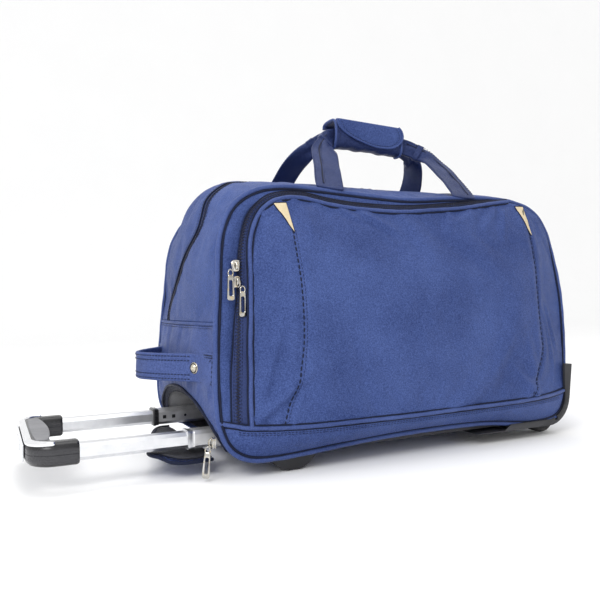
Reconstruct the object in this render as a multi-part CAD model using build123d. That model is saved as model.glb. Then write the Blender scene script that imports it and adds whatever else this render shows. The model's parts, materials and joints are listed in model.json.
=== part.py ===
from build123d import *
import math
import os

# Wheeled trolley duffel bag, lying on its two wheels and two feet with the pull handle part way out.
# Millimetres, +Z up. The solids are drawn from the bag's own corner: x runs from the handle end
# towards the wheel end, y from the front face to the back, z up from the floor.  save() then moves
# them so that the origin is at the middle of the footprint of the whole object.

# ---- driving dimensions -----------------------------------------------------------------------
LENGTH = 540.0          # bag, handle end to wheel end
DEPTH = 280.0           # bag, front to back at the bottom
BODY_Z = 17.0           # underside of the bag above the floor
SHOULDER_Z = 341.0      # height of the piping along the top edges
CROWN_Z = 362.0         # height of the zip along the middle of the top
LEAN = 35.0             # set-back of the front and back faces at the shoulder
WALL = 3.0              # padded fabric wall
EDGE = 5.0              # piping, as seen from the front
SEAM_Z = 176.0          # seam between the lower end panels and the upper gusset
ZIP_W = 30.0            # main zip with its two tapes
CORNER_LOW = 40.0       # outline radii
CORNER_HIGH = 80.0
POCKET_BULGE = 32.0     # how far the front pocket stands proud of the leaning front
POCKET_WALL = 4.0
INSERT_THICK = 1.5
POCKET_SET_IN = 12.5    # the pocket stands this much further from the handle end
POCKET_RISE = 5.0       # and this much nearer to the top
POCKET_REACH = 8.0      # and to the wheel end
POCKET_ZIP_END = 452.0  # the pocket's zip stops here, before the far corner
BAND_TOP = 58.0         # top of the band along the bottom of the front
PULL_OUT = 198.0        # grip face beyond the handle end of the bag, as posed
MID_Y = DEPTH / 2

# trolley handle
TUBE_Z = 42.0
TUBE_Y = (53.5, 226.5)
OUTER_TUBE = (27.0, 24.0)     # width across y, height
MIDDLE_TUBE = (24.0, 21.0)
INNER_TUBE = (21.0, 18.0)
TUBE_WALL = 1.2
MOUTH_X = 62.0                # open end of the fixed tubes
TUBE_END_X = 478.0
COLLAR_X = -23.0              # outer face of the sliding collar
COLLAR_L = 8.0
MIDDLE_END_X = 395.0
INNER_END_X = 270.0
SOCKET_X = -142.0             # where the tubes enter the grip
PIN_X = 262.0                 # lock pins, near the inner end of the inner tubes
INNER_IN, INNER_OUT = 119.0, 160.0

# wheels, guards and feet
WHEEL_R = 25.0
WHEEL_X = 514.0
WHEEL_W = 20.0
WHEEL_Y = 32.0
AXLE_R = 3.0
GUARD_OUT = 9.0               # guard beyond the wheel end of the bag
GUARD_UNDER = 9.0             # guard below the underside
GUARD_LIP = 7.0               # how far the guard laps over the front and back faces
GUARD_TOP = 102.0
GUARD_LEG_X = 415.0
FOOT_X = 97.0
FOOT_Y = 26.0
FOOT_R = 35.0
FLAT = 0.5                    # worn flat under each foot

# carry handles
HANDLE_Y = 36.0               # fold line of a handle, in from the front
HANDLE_Z = 348.0
GRIP_LOW, GRIP_HIGH = 419.0, 459.0
TOP_Z = 464.0

BUTTON_PROUD = 2.0
GUARD_PROUD = 4.0             # guards in front of and behind the bag
PAD_LOW = BAND_TOP + 14.0     # where the pocket stands out furthest
PAD_SET_BACK = LEAN * (PAD_LOW - BODY_Z) / (SHOULDER_Z - BODY_Z)
X_MID = (LENGTH + GUARD_OUT - PULL_OUT - BUTTON_PROUD) / 2
Y_MID = (DEPTH + GUARD_PROUD + PAD_SET_BACK - POCKET_BULGE) / 2


# ---- small helpers ----------------------------------------------------------------------------
def block(x0, x1, y0, y1, z0, z1):
    """A box between two corners."""
    return Pos((x0 + x1) / 2, (y0 + y1) / 2, (z0 + z1) / 2) * Box(x1 - x0, y1 - y0, z1 - z0)


def rod(point, axis, radius, length):
    """A cylinder that starts at a point and runs along an axis."""
    return extrude(Plane(origin=point, z_dir=axis) * Circle(radius), length)


def rounded(x0, x1, y0, y1, radii):
    """A rectangle with its own radius at each corner: low left, low right, high right, high left."""
    corners = ((x0, y0), (x1, y0), (x1, y1), (x0, y1))
    inward = ((1, 1), (-1, 1), (-1, -1), (1, -1))
    arcs = [CenterArc((c[0] + s[0] * r, c[1] + s[1] * r), r, 180 + 90 * i, 90)
            for i, (c, s, r) in enumerate(zip(corners, inward, radii))]
    lines = [Line(a @ 1, b @ 0) for a, b in zip(arcs, arcs[1:] + arcs[:1])]
    return make_face(Curve() + arcs + lines)


def across(face, y0, y1):
    """Extrude a face drawn in x and z from y0 to y1."""
    return extrude(Plane(origin=(0, y0, 0), x_dir=(1, 0, 0), z_dir=(0, -1, 0)) * face, -(y1 - y0))


def along(face, x0, x1):
    """Extrude a face drawn in y and z from x0 to x1."""
    return extrude(Plane(origin=(x0, 0, 0), x_dir=(0, 1, 0), z_dir=(1, 0, 0)) * face, x1 - x0)


def upward(face, z0, z1):
    """Extrude a face drawn in x and y from z0 to z1."""
    return extrude(Pos(0, 0, z0) * face, z1 - z0)


def flip(shape):
    """The same shape on the other side of the bag, front to back."""
    return mirror(shape, Plane(origin=(0, MID_Y, 0), x_dir=(1, 0, 0), z_dir=(0, 1, 0)))


def group(*shapes):
    """Separate solids kept together in one node."""
    return Compound(children=[solid for shape in shapes for solid in shape.solids()])


def save(name, shape):
    """Write one node, moved into the object's own frame."""
    export_step(Pos(-X_MID, -Y_MID, 0) * shape, f"parts/{name}.step")


# ---- the bag's walls --------------------------------------------------------------------------
def front_y(z):
    """Where the leaning front face is at a height."""
    return LEAN * (z - BODY_Z) / (SHOULDER_Z - BODY_Z)


def outline(inset, y0=-60.0, y1=340.0):
    """The bag seen from the front, as a prism."""
    low, high = CORNER_LOW - inset, CORNER_HIGH - inset
    face = rounded(inset, LENGTH - inset, BODY_Z + inset, CROWN_Z - inset, (low, low, high, high))
    return across(face, y0, y1)


def end_view(inset):
    """The bag seen from its end, as a prism: leaning faces and a domed top."""
    low, high = BODY_Z + inset, SHOULDER_Z - inset
    left = Line((front_y(low) + inset, low), (front_y(high) + inset, high))
    right = Line((DEPTH - front_y(high) - inset, high), (DEPTH - front_y(low) - inset, low))
    dome = ThreePointArc(left @ 1, (MID_Y, CROWN_Z - inset), right @ 0)
    return along(make_face(Curve() + [left, dome, right, Line(right @ 1, left @ 0)]), -20, LENGTH + 20)


def front_layer(outer, inner):
    """The space between two planes parallel to the leaning front face; inwards is positive."""
    low, high = -40.0, 440.0
    corners = [(front_y(low) + outer, low), (front_y(high) + outer, high),
               (front_y(high) + inner, high), (front_y(low) + inner, low)]
    return along(make_face(Polyline(*corners, close=True)), -80, LENGTH + 80)


def front_sheet(outset, inset, outer, inner):
    """A ring or sheet of the front outline, between two insets and two depths."""
    shape = outline(outset) & end_view(0) & front_layer(outer, inner)
    return shape - outline(inset) if inset else shape


def pocket_face(step, floor, corner):
    """The pocket's outline, a step inside the front's: further in at the handle end than elsewhere."""
    low, high = step + POCKET_SET_IN, LENGTH - step + POCKET_REACH
    return rounded(low, high, floor, SHOULDER_Z - step + POCKET_RISE, (1.0, 1.0, corner, corner))


def pocket_sheet(outset, inset, outer, inner):
    """Pocket trim: as front_sheet, but above the band and below the shoulder."""
    shape = across(pocket_face(outset, BAND_TOP, CORNER_HIGH - outset), -60, 200)
    if inset:
        shape -= across(pocket_face(inset, BAND_TOP - 20, CORNER_HIGH - inset), -80, 220)
    return shape & front_layer(outer, inner)


def wheel_well(y0, gap=0.0):
    """The space that a wheel housing takes inside the bag."""
    return block(484 - gap, LENGTH + 20, y0 - 15 - gap, y0 + 15 + gap, 0, 57 + gap)


def bag_walls():
    """Every sewn panel of the bag, as a dictionary of nodes."""
    shell = (outline(0) & end_view(0)) - (outline(WALL) & end_view(WALL))
    shell -= front_layer(-80, EDGE)
    shell -= flip(front_layer(-80, EDGE))
    upper = block(-20, LENGTH + 20, -60, 340, SEAM_Z, 400)
    zip_strip = block(-20, LENGTH + 20, MID_Y - ZIP_W / 2, MID_Y + ZIP_W / 2, 0, 400)
    gusset = shell & upper & block(-20, LENGTH + 20, -60, MID_Y - ZIP_W / 2, 0, 400)

    arch = ThreePointArc((12, 46), (MID_Y, 94), (DEPTH - 12, 46))
    sides = Polyline(arch @ 1, (DEPTH - 30, 28), (30, 28), arch @ 0)
    mouth = along(make_face(Curve() + [arch, sides]), -20, 45)
    wells = [wheel_well(WHEEL_Y, 0.5), wheel_well(DEPTH - WHEEL_Y, 0.5)]

    left = shell & block(-20, 60, -60, 340, 0, SEAM_Z)
    bottom = shell & block(60, 470, -60, 340, 0, 100)
    right = shell & block(470, LENGTH + 20, -60, 340, 0, SEAM_Z)
    for well in wells:
        right -= well
    front = front_sheet(EDGE, 0, 1, 4)
    edge = front_sheet(0, EDGE, 0, EDGE)
    return {
        "front_panel": front, "rear_panel": flip(front), "front_piping": edge, "rear_piping": flip(edge),
        "top_gusset_front": gusset, "top_gusset_rear": flip(gusset), "main_zipper": shell & upper & zip_strip,
        "left_end_panel": left - mouth, "right_end_panel": right, "bottom_panel": bottom,
    }


def pocket_pads(inward):
    """The pocket's outer form in rising steps, or its hollow when moved inward."""
    form = None
    for step, low, depth in ((30, 0, -12), (44, 4, -20), (62, 9, -27), (90, 14, -POCKET_BULGE)):
        edge = step + inward
        pad = across(pocket_face(edge, BAND_TOP + low + inward, max(CORNER_HIGH - edge, 40.0)), -80, 200)
        pad &= front_layer(depth + inward, 1 + inward)
        form = pad if form is None else form + pad
    return form


def front_pocket():
    """The bulging pocket with its zip, piping and inserts, and the band below it."""
    panel = pocket_pads(0) - pocket_pads(POCKET_WALL)
    band = front_sheet(GUARD_LIP, 0, -9, 1) & block(0, LENGTH, -60, 100, BODY_Z, BAND_TOP - 4)
    margin = GUARD_LIP + 1
    seam = front_layer(-13, 1) & block(margin, LENGTH - margin, -60, 100, BAND_TOP - 4, BAND_TOP)
    inserts = []
    skin = pocket_pads(-INSERT_THICK) - pocket_pads(0)
    for x_top, x_low in ((86, 104), (468, 474)):
        corners = [(x_top - 7, 306), (x_top + 7, 306), (x_low, 267)]
        triangle = across(make_face(Polyline(*corners, close=True)), -60, 200)
        inserts.append(triangle & skin)
    zipper = pocket_sheet(11, 23.5, -4, 1) & block(0, POCKET_ZIP_END, -60, 100, 0, 400)
    return {
        "pocket_panel": panel, "pocket_piping": pocket_sheet(24, 30, -8, 1),
        "pocket_zipper": zipper, "front_band": band, "band_piping": seam,
        "accent_inserts": group(*inserts),
    }


# ---- trolley handle ---------------------------------------------------------------------------
def tube_face(y, size, extra=0.0):
    """The tube section: a rectangle with its four corners cut off at a slant."""
    width, height, cut = size[0] / 2 + extra, size[1] / 2 + extra, 4.0
    corners = [(width, height - cut), (width - cut, height), (cut - width, height), (-width, height - cut),
               (-width, cut - height), (cut - width, -height), (width - cut, -height), (width, cut - height)]
    return Pos(y, TUBE_Z) * make_face(Polyline(*corners, close=True))


def tube(y, size, x0, x1, wall=TUBE_WALL):
    """One drawn tube."""
    return along(tube_face(y, size), x0, x1) - along(tube_face(y, size, -wall), x0 - 1, x1 + 1)


def collar(y, bore, size, x0, x1):
    """A plastic guide ring round a sliding tube."""
    return along(tube_face(y, size), x0, x1) - along(tube_face(y, bore, 0.1), x0 - 1, x1 + 1)


def inward_side(y):
    """+1 on the front tube and -1 on the back one: the side that faces the other tube."""
    return 1 if y < MID_Y else -1


def trolley_tubes():
    """Fixed, middle and inner tubes with their collars and the bracket at their far end."""
    outer, mouths, middle, collars, inner = [], [], [], [], []
    for y in TUBE_Y:
        side = inward_side(y)
        outer.append(tube(y, OUTER_TUBE, MOUTH_X + 10, TUBE_END_X))
        mouths.append(collar(y, MIDDLE_TUBE, OUTER_TUBE, MOUTH_X, MOUTH_X + 10))
        stage = tube(y, MIDDLE_TUBE, COLLAR_X + COLLAR_L, MIDDLE_END_X)
        for x in (-7.0, 6.0):
            stage -= block(x - 2.5, x + 2.5, y if side > 0 else y - 20, y + 20 if side > 0 else y, 39.5, 44.5)
        for x, radius in ((23.0, 2.5), (PIN_X - INNER_OUT, 2.8), (PIN_X + INNER_IN, 2.8)):
            stage -= rod((x, y, TUBE_Z), (0, side, 0), radius, 20)
        middle.append(stage)
        collars.append(collar(y, INNER_TUBE, OUTER_TUBE, COLLAR_X, COLLAR_X + COLLAR_L))
        inner.append(tube(y, INNER_TUBE, SOCKET_X - 18, INNER_END_X)
                     - rod((PIN_X, y, TUBE_Z), (0, side, 0), 2.6, 20))
    bracket = block(TUBE_END_X, TUBE_END_X + 4, 36, DEPTH - 36, 23.5, 60)
    return {
        "outer_tubes": group(*outer), "outer_collars": group(*mouths), "middle_tubes": group(*middle),
        "middle_collars": group(*collars), "inner_tubes": group(*inner), "tube_bracket": bracket,
    }


def grip_plan(inset, x_in):
    """The grip seen from above: a bar with two sockets, its outer corners rounded."""
    radius = 30.0 - inset
    return rounded(-196 + inset, x_in, 38.5 + inset, DEPTH - 38.5 - inset, (radius, 6.0, 6.0, radius))


def trolley_grip():
    """The grip, its trim, the push button and the lock linkage."""
    body = upward(grip_plan(0, SOCKET_X), 29, 55)
    body -= upward(rounded(-167, SOCKET_X + 20, 68.5, DEPTH - 68.5, (14.0, 1.0, 1.0, 14.0)), 20, 60)
    body -= block(-184, -168, 44, DEPTH - 44, 37, 47)
    body -= block(-200, -176.5, MID_Y - 21.2, MID_Y + 21.2, 36, 48)
    rods = [block(-181, -177, 46, DEPTH - 46, 39, 45)]
    for y in TUBE_Y:
        body -= along(tube_face(y, INNER_TUBE, 0.05), SOCKET_X - 18, SOCKET_X + 1)
        body -= block(-184, SOCKET_X, y - 5, y + 5, 37.5, 46.5)
        rods.append(block(-178, 250, y - 3, y + 3, 40.5, 43.5))
    linkage = rods[0] + rods[1] + rods[2]
    trim = upward(grip_plan(0, -150), 55, 58) - upward(grip_plan(6, -140), 54, 59)
    plate = upward(grip_plan(6.5, -150), 55, 56.5) & block(-200, -168.5, 0, DEPTH, 50, 60)
    face = block(-198, -196, 70, DEPTH - 70, 33, 51) - block(-200, -190, MID_Y - 21.2, MID_Y + 21.2, 36, 48)
    button = block(-200, -181, MID_Y - 21, MID_Y + 21, 36.2, 47.8)
    spring = rod((-177, MID_Y, TUBE_Z), (1, 0, 0), 4, 9) - rod((-178, MID_Y, TUBE_Z), (1, 0, 0), 2.8, 12)
    pins = []
    for y in TUBE_Y:
        side = inward_side(y)
        pins.append(rod((PIN_X, y + side * 3.5, TUBE_Z), (0, side, 0), 2.5, 7.2))
    return {
        "grip_body": body, "grip_trim": trim, "grip_top_plate": plate, "grip_end_face": face,
        "push_button": button, "button_spring": spring, "push_rods": linkage,
        "lock_pin_front": pins[0], "lock_pin_rear": pins[1],
    }


# ---- wheels, guards, feet and base ------------------------------------------------------------
def corner_guard():
    """The front corner guard: an L-shaped skid with the wheel's housing moulded inside it."""
    radii = (1.0, CORNER_LOW + GUARD_OUT, 1.0, 1.0)
    skin = rounded(GUARD_LEG_X, LENGTH + GUARD_OUT, BODY_Z - GUARD_UNDER, GUARD_TOP, radii)
    y0, y1 = -GUARD_PROUD, 60.0
    strip = across(skin, y0, y1) - outline(GUARD_LIP, -80, 0) - outline(0, 0, 200)
    low, lap = BODY_Z - GUARD_UNDER, BODY_Z + GUARD_LIP
    back = GUARD_LEG_X - 1
    bevel = make_face(Polyline((back, low + 5), (back, 40), (GUARD_LEG_X + 12, lap), close=True))
    strip -= across(bevel, -80, 200)
    rail = make_face(Polyline((366, low + 5), (372, low), (GUARD_LEG_X + 1, low), (GUARD_LEG_X + 1, low + 5),
                              close=True))
    strip += across(rail, y0, y1)
    housing = wheel_well(WHEEL_Y) & outline(0, -80, 200)
    space = block(487, LENGTH + 30, WHEEL_Y - 12, WHEEL_Y + 12, -1, 54)
    slot = across(Pos(WHEEL_X, WHEEL_R) * Circle(WHEEL_R + 2), WHEEL_Y - 12, WHEEL_Y + 12)
    guard = strip + housing - (space & outline(0.0, -80, 200)) - slot
    return guard - rod((WHEEL_X, -20, WHEEL_R), (0, 1, 0), AXLE_R + 0.05, 90)


def wheel():
    """Tyre and hub of the front wheel."""
    y0, y1 = WHEEL_Y - WHEEL_W / 2, WHEEL_Y + WHEEL_W / 2
    centre = Pos(WHEEL_X, WHEEL_R)
    tyre = across(centre * (Circle(WHEEL_R) - Circle(17.0)), y0, y1)
    tyre = chamfer(tyre.edges().filter_by(GeomType.CIRCLE).sort_by(lambda e: -e.radius)[:2], 2.0)
    hub = across(centre * (Circle(17.0) - Circle(AXLE_R + 0.05)), y0, y1)
    hub -= across(centre * (Circle(14.5) - Circle(6.0)), y0 - 1, y0 + 4)
    hub -= across(centre * (Circle(14.5) - Circle(6.0)), y1 - 4, y1 + 1)
    return tyre, hub


def foot(drill):
    """The front foot: a half disc with a small flat where it stands."""
    disc = across(Pos(FOOT_X, FOOT_R - FLAT) * Circle(FOOT_R), FOOT_Y - 15, FOOT_Y + 15)
    body = disc & block(0, 200, -50, 100, 0, BODY_Z)
    for hole in drill:
        body -= hole
    return body


def base():
    """Stiffening boards, feet, guards, wheels, axles and the screws that hold them."""
    places = [(x, y) for x in (FOOT_X - 16, FOOT_X + 16, 430.0, 462.0) for y in (FOOT_Y, DEPTH - FOOT_Y)]
    holes = [rod((x, y, 8.9), (0, 0, 1), 1.9, 20) for x, y in places]
    screws = [rod((x, y, 9), (0, 0, 1), 1.8, 15) + rod((x, y, 23.5), (0, 0, 1), 4, 2) for x, y in places]
    board = block(42, 482, 13, DEPTH - 13, 20, 23.5)
    guard = corner_guard()
    for hole in holes:
        board -= hole
        guard -= hole
    shoe = foot(holes)
    tyre, hub = wheel()
    axle = rod((WHEEL_X, WHEEL_Y - 15, WHEEL_R), (0, 1, 0), AXLE_R, 30)
    arched = [(6, 96), (60, 96), (140, 68), (LENGTH - 6, 68), (LENGTH - 6, 70), (140, 70), (60, 98), (6, 98)]
    divider = across(make_face(Polyline(*arched, close=True)), 16, DEPTH - 16)
    return {
        "base_board": board, "compartment_floor": divider, "feet": group(shoe, flip(shoe)),
        "corner_guard_front": guard, "corner_guard_rear": flip(guard), "axles": group(axle, flip(axle)),
        "wheel_tyre_front": tyre, "wheel_tyre_rear": flip(tyre),
        "wheel_hub_front": hub, "wheel_hub_rear": flip(hub), "base_screws": group(*screws),
    }, holes


# ---- carry handles, grab handle and flap ------------------------------------------------------
def carry_handle():
    """The front carry handle: two leaning webbing legs and an upright padded grip between them."""
    rise, run = GRIP_LOW - HANDLE_Z, 128 - HANDLE_Y
    length = math.hypot(rise, run)
    slope = Plane(origin=(0, HANDLE_Y, HANDLE_Z), x_dir=(1, 0, 0), z_dir=(0, -rise / length, run / length))
    left = make_face(Polyline((145, 5), (184, 5), (219, length), (184, length), close=True))
    right = make_face(Polyline((361, 5), (398, 5), (388, length), (353, length), close=True))
    legs = extrude(slope * left, 2.5, both=True) + extrude(slope * right, 2.5, both=True)
    bar = across(rounded(184, 388, GRIP_LOW - 4, GRIP_HIGH, (4.0, 4.0, 20.0, 20.0)), 126, 138)
    return legs + bar


def grip_wrap():
    """The padded wrap on the front handle, open at the back, and its closing tongue."""
    x0, x1 = 226, 346
    sleeve = block(x0, x1, 120, 125, 412, TOP_Z) + block(x0, x1, 120, 156, GRIP_HIGH + 1, TOP_Z)
    sleeve += block(x0, x1, 120, 138, 410, 413.5)
    tongue = across(rounded(x0 + 4, x1 - 2, 430, TOP_Z - 1, (14.0, 14.0, 3.0, 3.0)), 115.5, 119.5)
    return sleeve, tongue


def grab_handle():
    """The webbing loop on the handle end: its bowed strap, stitched tabs and rivets."""
    low, high = 107, 141
    outer = ThreePointArc((-12, 46), (-58, MID_Y), (-12, DEPTH - 46))
    inner = ThreePointArc((-12, DEPTH - 52), (-54, MID_Y), (-12, 52))
    ends = [Line(outer @ 1, inner @ 0), Line(inner @ 1, outer @ 0)]
    strap = upward(make_face(Curve() + [outer, inner] + ends), low, high)
    tab = block(-3, 0, 18, 62, low - 2, high + 2)
    rivet = rod((-3, 52, (low + high) / 2), (-1, 0, 0), 5, 2.5)
    return strap, group(tab, flip(tab)), group(rivet, flip(rivet))


def trolley_flap():
    """The flap of the handle compartment, folded out below the tubes."""
    return upward(rounded(-62, -7, 40, DEPTH - 40, (34.0, 3.0, 3.0, 34.0)), 22.5, 26)


# ---- zip sliders and pulls --------------------------------------------------------------------
def slider_body():
    """A zip slider on the xy plane: two cheeks' width of body and a raised bridge."""
    body = Pos(0, 0, 2) * Box(12, 9, 4)
    bridge = Pos(0, 0, 5.5) * Box(8, 3, 3)
    return body + bridge


def pull_tab(length, width=9.0):
    """A zip pull lying on the xy plane from its eye towards +x."""
    plate = rounded(0, length, -width / 2, width / 2, (2.0, 3.0, 3.0, 2.0))
    return extrude(plate - Pos(3.5, 0) * Circle(1.6), 1.6)


def sliders():
    """Sliders and pulls of the main, pocket and flap zips."""
    top = CROWN_Z + 0.3
    pull = pull_tab(34)
    parts = {
        "main_slider_a": Pos(277, MID_Y, top) * slider_body(),
        "main_slider_b": Pos(292, MID_Y, top) * slider_body(),
        "main_pull_a": Pos(269, MID_Y, top + 4.4) * Rot(0, 0, 180) * pull,
        "main_pull_b": Pos(300, MID_Y, top + 4.4) * pull,
    }
    lean = math.degrees(math.atan2(LEAN, SHOULDER_Z - BODY_Z))
    for name, z, x in (("upper", 243.0, 20.8), ("lower", 224.0, 34.3)):
        face = Pos(30.0, front_y(z) - 4.3, z) * Rot(90 - lean, 0, 0) * Rot(0, 0, 90)
        hang = Pos(x, front_y(z) - 13.5, z - 6) * Rot(90, 0, 0) * Rot(0, 0, -90)
        parts[f"pocket_slider_{name}"] = face * slider_body()
        parts[f"pocket_pull_{name}"] = hang * pull
    parts["flap_slider"] = Pos(-0.3, 12, 43) * Rot(0, -90, 0) * slider_body()
    parts["flap_pull"] = Pos(-9.6, 12, 38) * Rot(0, 90, 0) * pull
    return parts


# ---- write the parts --------------------------------------------------------------------------
def main():
    os.makedirs("parts", exist_ok=True)
    nodes = bag_walls()
    nodes.update(front_pocket())
    nodes.update(trolley_tubes())
    nodes.update(trolley_grip())
    base_parts, holes = base()
    nodes.update(base_parts)
    for hole in holes:
        nodes["bottom_panel"] -= hole
    handle = carry_handle()
    sleeve, tongue = grip_wrap()
    strap, tabs, rivets = grab_handle()
    nodes.update({
        "front_handle": handle, "rear_handle": flip(handle), "grip_wrap": sleeve, "wrap_tongue": tongue,
        "grab_handle": strap, "grab_tabs": tabs, "grab_rivets": rivets, "trolley_flap": trolley_flap(),
    })
    nodes.update(sliders())
    for name, shape in nodes.items():
        save(name, shape)
    whole = Compound(children=[Pos(-X_MID, -Y_MID, 0) * shape for shape in nodes.values()]).bounding_box()
    print(len(nodes), "nodes, from", whole.min, "to", whole.max)


main()
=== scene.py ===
import json
import math
import random

import bpy
import numpy as np
from mathutils import Matrix, Vector
from mathutils.bvhtree import BVHTree

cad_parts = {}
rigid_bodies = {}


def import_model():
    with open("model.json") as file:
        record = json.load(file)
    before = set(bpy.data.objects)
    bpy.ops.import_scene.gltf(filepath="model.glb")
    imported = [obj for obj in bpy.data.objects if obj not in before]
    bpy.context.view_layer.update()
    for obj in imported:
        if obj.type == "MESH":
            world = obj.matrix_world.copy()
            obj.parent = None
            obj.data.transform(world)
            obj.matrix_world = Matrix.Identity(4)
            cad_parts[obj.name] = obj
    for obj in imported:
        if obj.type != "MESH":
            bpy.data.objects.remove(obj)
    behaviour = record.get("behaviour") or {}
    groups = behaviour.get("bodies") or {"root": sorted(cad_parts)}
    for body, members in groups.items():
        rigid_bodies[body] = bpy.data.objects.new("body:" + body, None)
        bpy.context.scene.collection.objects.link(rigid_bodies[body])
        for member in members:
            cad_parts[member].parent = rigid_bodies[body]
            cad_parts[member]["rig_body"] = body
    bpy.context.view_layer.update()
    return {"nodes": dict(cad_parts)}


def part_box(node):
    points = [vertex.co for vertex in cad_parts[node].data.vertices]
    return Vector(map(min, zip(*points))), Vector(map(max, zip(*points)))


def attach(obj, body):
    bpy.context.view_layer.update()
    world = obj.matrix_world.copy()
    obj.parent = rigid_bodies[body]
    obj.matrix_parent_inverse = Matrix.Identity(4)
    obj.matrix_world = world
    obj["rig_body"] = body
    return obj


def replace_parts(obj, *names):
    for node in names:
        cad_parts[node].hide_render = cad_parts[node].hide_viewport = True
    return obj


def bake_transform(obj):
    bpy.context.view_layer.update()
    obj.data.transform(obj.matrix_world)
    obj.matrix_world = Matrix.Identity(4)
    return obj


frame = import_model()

# Looks of the wheeled trolley duffel bag.  Every function below works in the bag's own millimetres:
# x from the handle end towards the wheels, y from the pocket side to the back, z up from the floor.
# to_row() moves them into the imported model's frame.
MM = 0.001
dice = random.Random(12)

# ---- sizes taken from the frame ---------------------------------------------------------------
piping_low, piping_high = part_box("front_piping")
ORIGIN_X = piping_low.x
LENGTH = (piping_high.x - piping_low.x) / MM
DEPTH = (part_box("rear_piping")[1].y - piping_low.y) / MM
ORIGIN_Y = piping_low.y
BODY_Z = piping_low.z / MM
CROWN_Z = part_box("main_zipper")[1].z / MM
SHOULDER_Z = piping_high.z / MM
MID_Y = DEPTH / 2
EDGE = 5.0
LEAN = (piping_high.y - piping_low.y) / MM - EDGE
SEAM_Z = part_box("left_end_panel")[1].z / MM
TUBE_Z = (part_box("inner_tubes")[0].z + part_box("inner_tubes")[1].z) / 2 / MM
TUBE_YS = (("front", 53.5), ("rear", 226.5))
LOOP_Z = 124.0


def to_row(points):
    """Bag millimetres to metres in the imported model's frame."""
    points = np.asarray(points, float)
    return points * MM + np.array([ORIGIN_X, ORIGIN_Y, 0.0])


def place(x, y, z):
    """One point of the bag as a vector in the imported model's frame."""
    return Vector(to_row((x, y, z)))


def lean(z):
    """Where the leaning front face is at a height."""
    return LEAN * (np.asarray(z, float) - BODY_Z) / (SHOULDER_Z - BODY_Z)


# ---- curves -----------------------------------------------------------------------------------
def spline(points, count, closed=False):
    """Evenly spaced points along a smooth curve through a few chosen ones."""
    p = np.asarray(points, float)
    if closed:
        p = np.vstack([p[-1], p, p[0], p[1]])
    else:
        p = np.vstack([2 * p[0] - p[1], p, 2 * p[-1] - p[-2]])
    t = np.linspace(0, 1, 20, endpoint=False)[:, None]
    pieces = []
    for a, b, c, d in zip(p, p[1:], p[2:], p[3:]):
        pieces.append(0.5 * (2 * b + (c - a) * t + (2 * a - 5 * b + 4 * c - d) * t ** 2
                             + (3 * b - a - 3 * c + d) * t ** 3))
    return resample(np.vstack(pieces + [p[-2][None]]), count, closed)


def resample(path, count, closed=False):
    """The same path with evenly spaced points."""
    steps = np.linalg.norm(np.diff(path, axis=0), axis=1)
    run = np.concatenate([[0], np.cumsum(steps)])
    at = np.linspace(0, run[-1], count, endpoint=not closed)
    return np.stack([np.interp(at, run, path[:, k]) for k in range(path.shape[1])], 1)


def length_of(path):
    return float(np.linalg.norm(np.diff(path, axis=0), axis=1).sum())


def tangents(path, closed=False):
    """Unit tangents of a path."""
    if closed:
        d = np.roll(path, -1, 0) - np.roll(path, 1, 0)
    else:
        d = np.gradient(path, axis=0)
    return d / np.maximum(np.linalg.norm(d, axis=1), 1e-9)[:, None]


def outward(loop):
    """Outward normals of a closed anticlockwise loop drawn in x and z."""
    t = tangents(loop, True)
    return np.stack([t[:, 1], -t[:, 0]], 1)


def ease(t):
    """0 to 1, steep at first and flat at the end."""
    return np.sin(np.clip(t, 0, 1) * math.pi / 2)


def smooth(t):
    t = np.clip(t, 0, 1)
    return t * t * (3 - 2 * t)


def unit(v):
    v = np.asarray(v, float)
    return v / np.maximum(np.linalg.norm(v, axis=-1, keepdims=True), 1e-9)


# ---- mesh tools -------------------------------------------------------------------------------
def make(name, points, faces, mat, uv=None, body="bag"):
    """A mesh object from bag millimetres, which rides on a body.  uv holds millimetres too."""
    mesh = bpy.data.meshes.new(name)
    mesh.from_pydata(to_row(points).tolist(), [], faces)
    mesh.update()
    mesh.polygons.foreach_set("use_smooth", [True] * len(mesh.polygons))
    if uv is not None:
        layer = mesh.uv_layers.new(name="UVMap")
        loops = np.empty(len(mesh.loops), np.int64)
        mesh.loops.foreach_get("vertex_index", loops)
        layer.data.foreach_set("uv", (np.asarray(uv, float)[loops] * MM).ravel())
    piece = bpy.data.objects.new(name, mesh)
    bpy.context.scene.collection.objects.link(piece)
    mesh.materials.append(MATERIALS[mat])
    if body:
        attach(piece, body)
    return piece


def grid_faces(rows, columns, wrap=False):
    """Quads of a grid whose points are stored row after row."""
    faces = []
    last = columns if wrap else columns - 1
    for i in range(rows - 1):
        for j in range(last):
            k = (j + 1) % columns
            faces.append((i * columns + j, i * columns + k, (i + 1) * columns + k, (i + 1) * columns + j))
    return faces


def capped_faces(rows, columns):
    """Faces of a closed tube of points with a cap on each end."""
    faces = grid_faces(rows, columns, True)
    faces.append(tuple(range(columns))[::-1])
    faces.append(tuple((rows - 1) * columns + j for j in range(columns)))
    return faces


def looped_faces(rows, columns):
    """Faces of a closed tube of points whose last row joins its first."""
    last = (rows - 1) * columns
    return grid_faces(rows, columns, True) + [
        (last + j, last + (j + 1) % columns, (j + 1) % columns, j) for j in range(columns)]


def grid_uv(grid):
    """Arc lengths over a grid of points, in millimetres."""
    rows = np.linalg.norm(np.diff(grid, axis=0), axis=2)
    columns = np.linalg.norm(np.diff(grid, axis=1), axis=2)
    u = np.vstack([np.zeros(grid.shape[1]), np.cumsum(rows, 0)])
    v = np.hstack([np.zeros((grid.shape[0], 1)), np.cumsum(columns, 1)])
    return np.stack([u, v], 2).reshape(-1, 2)


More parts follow.
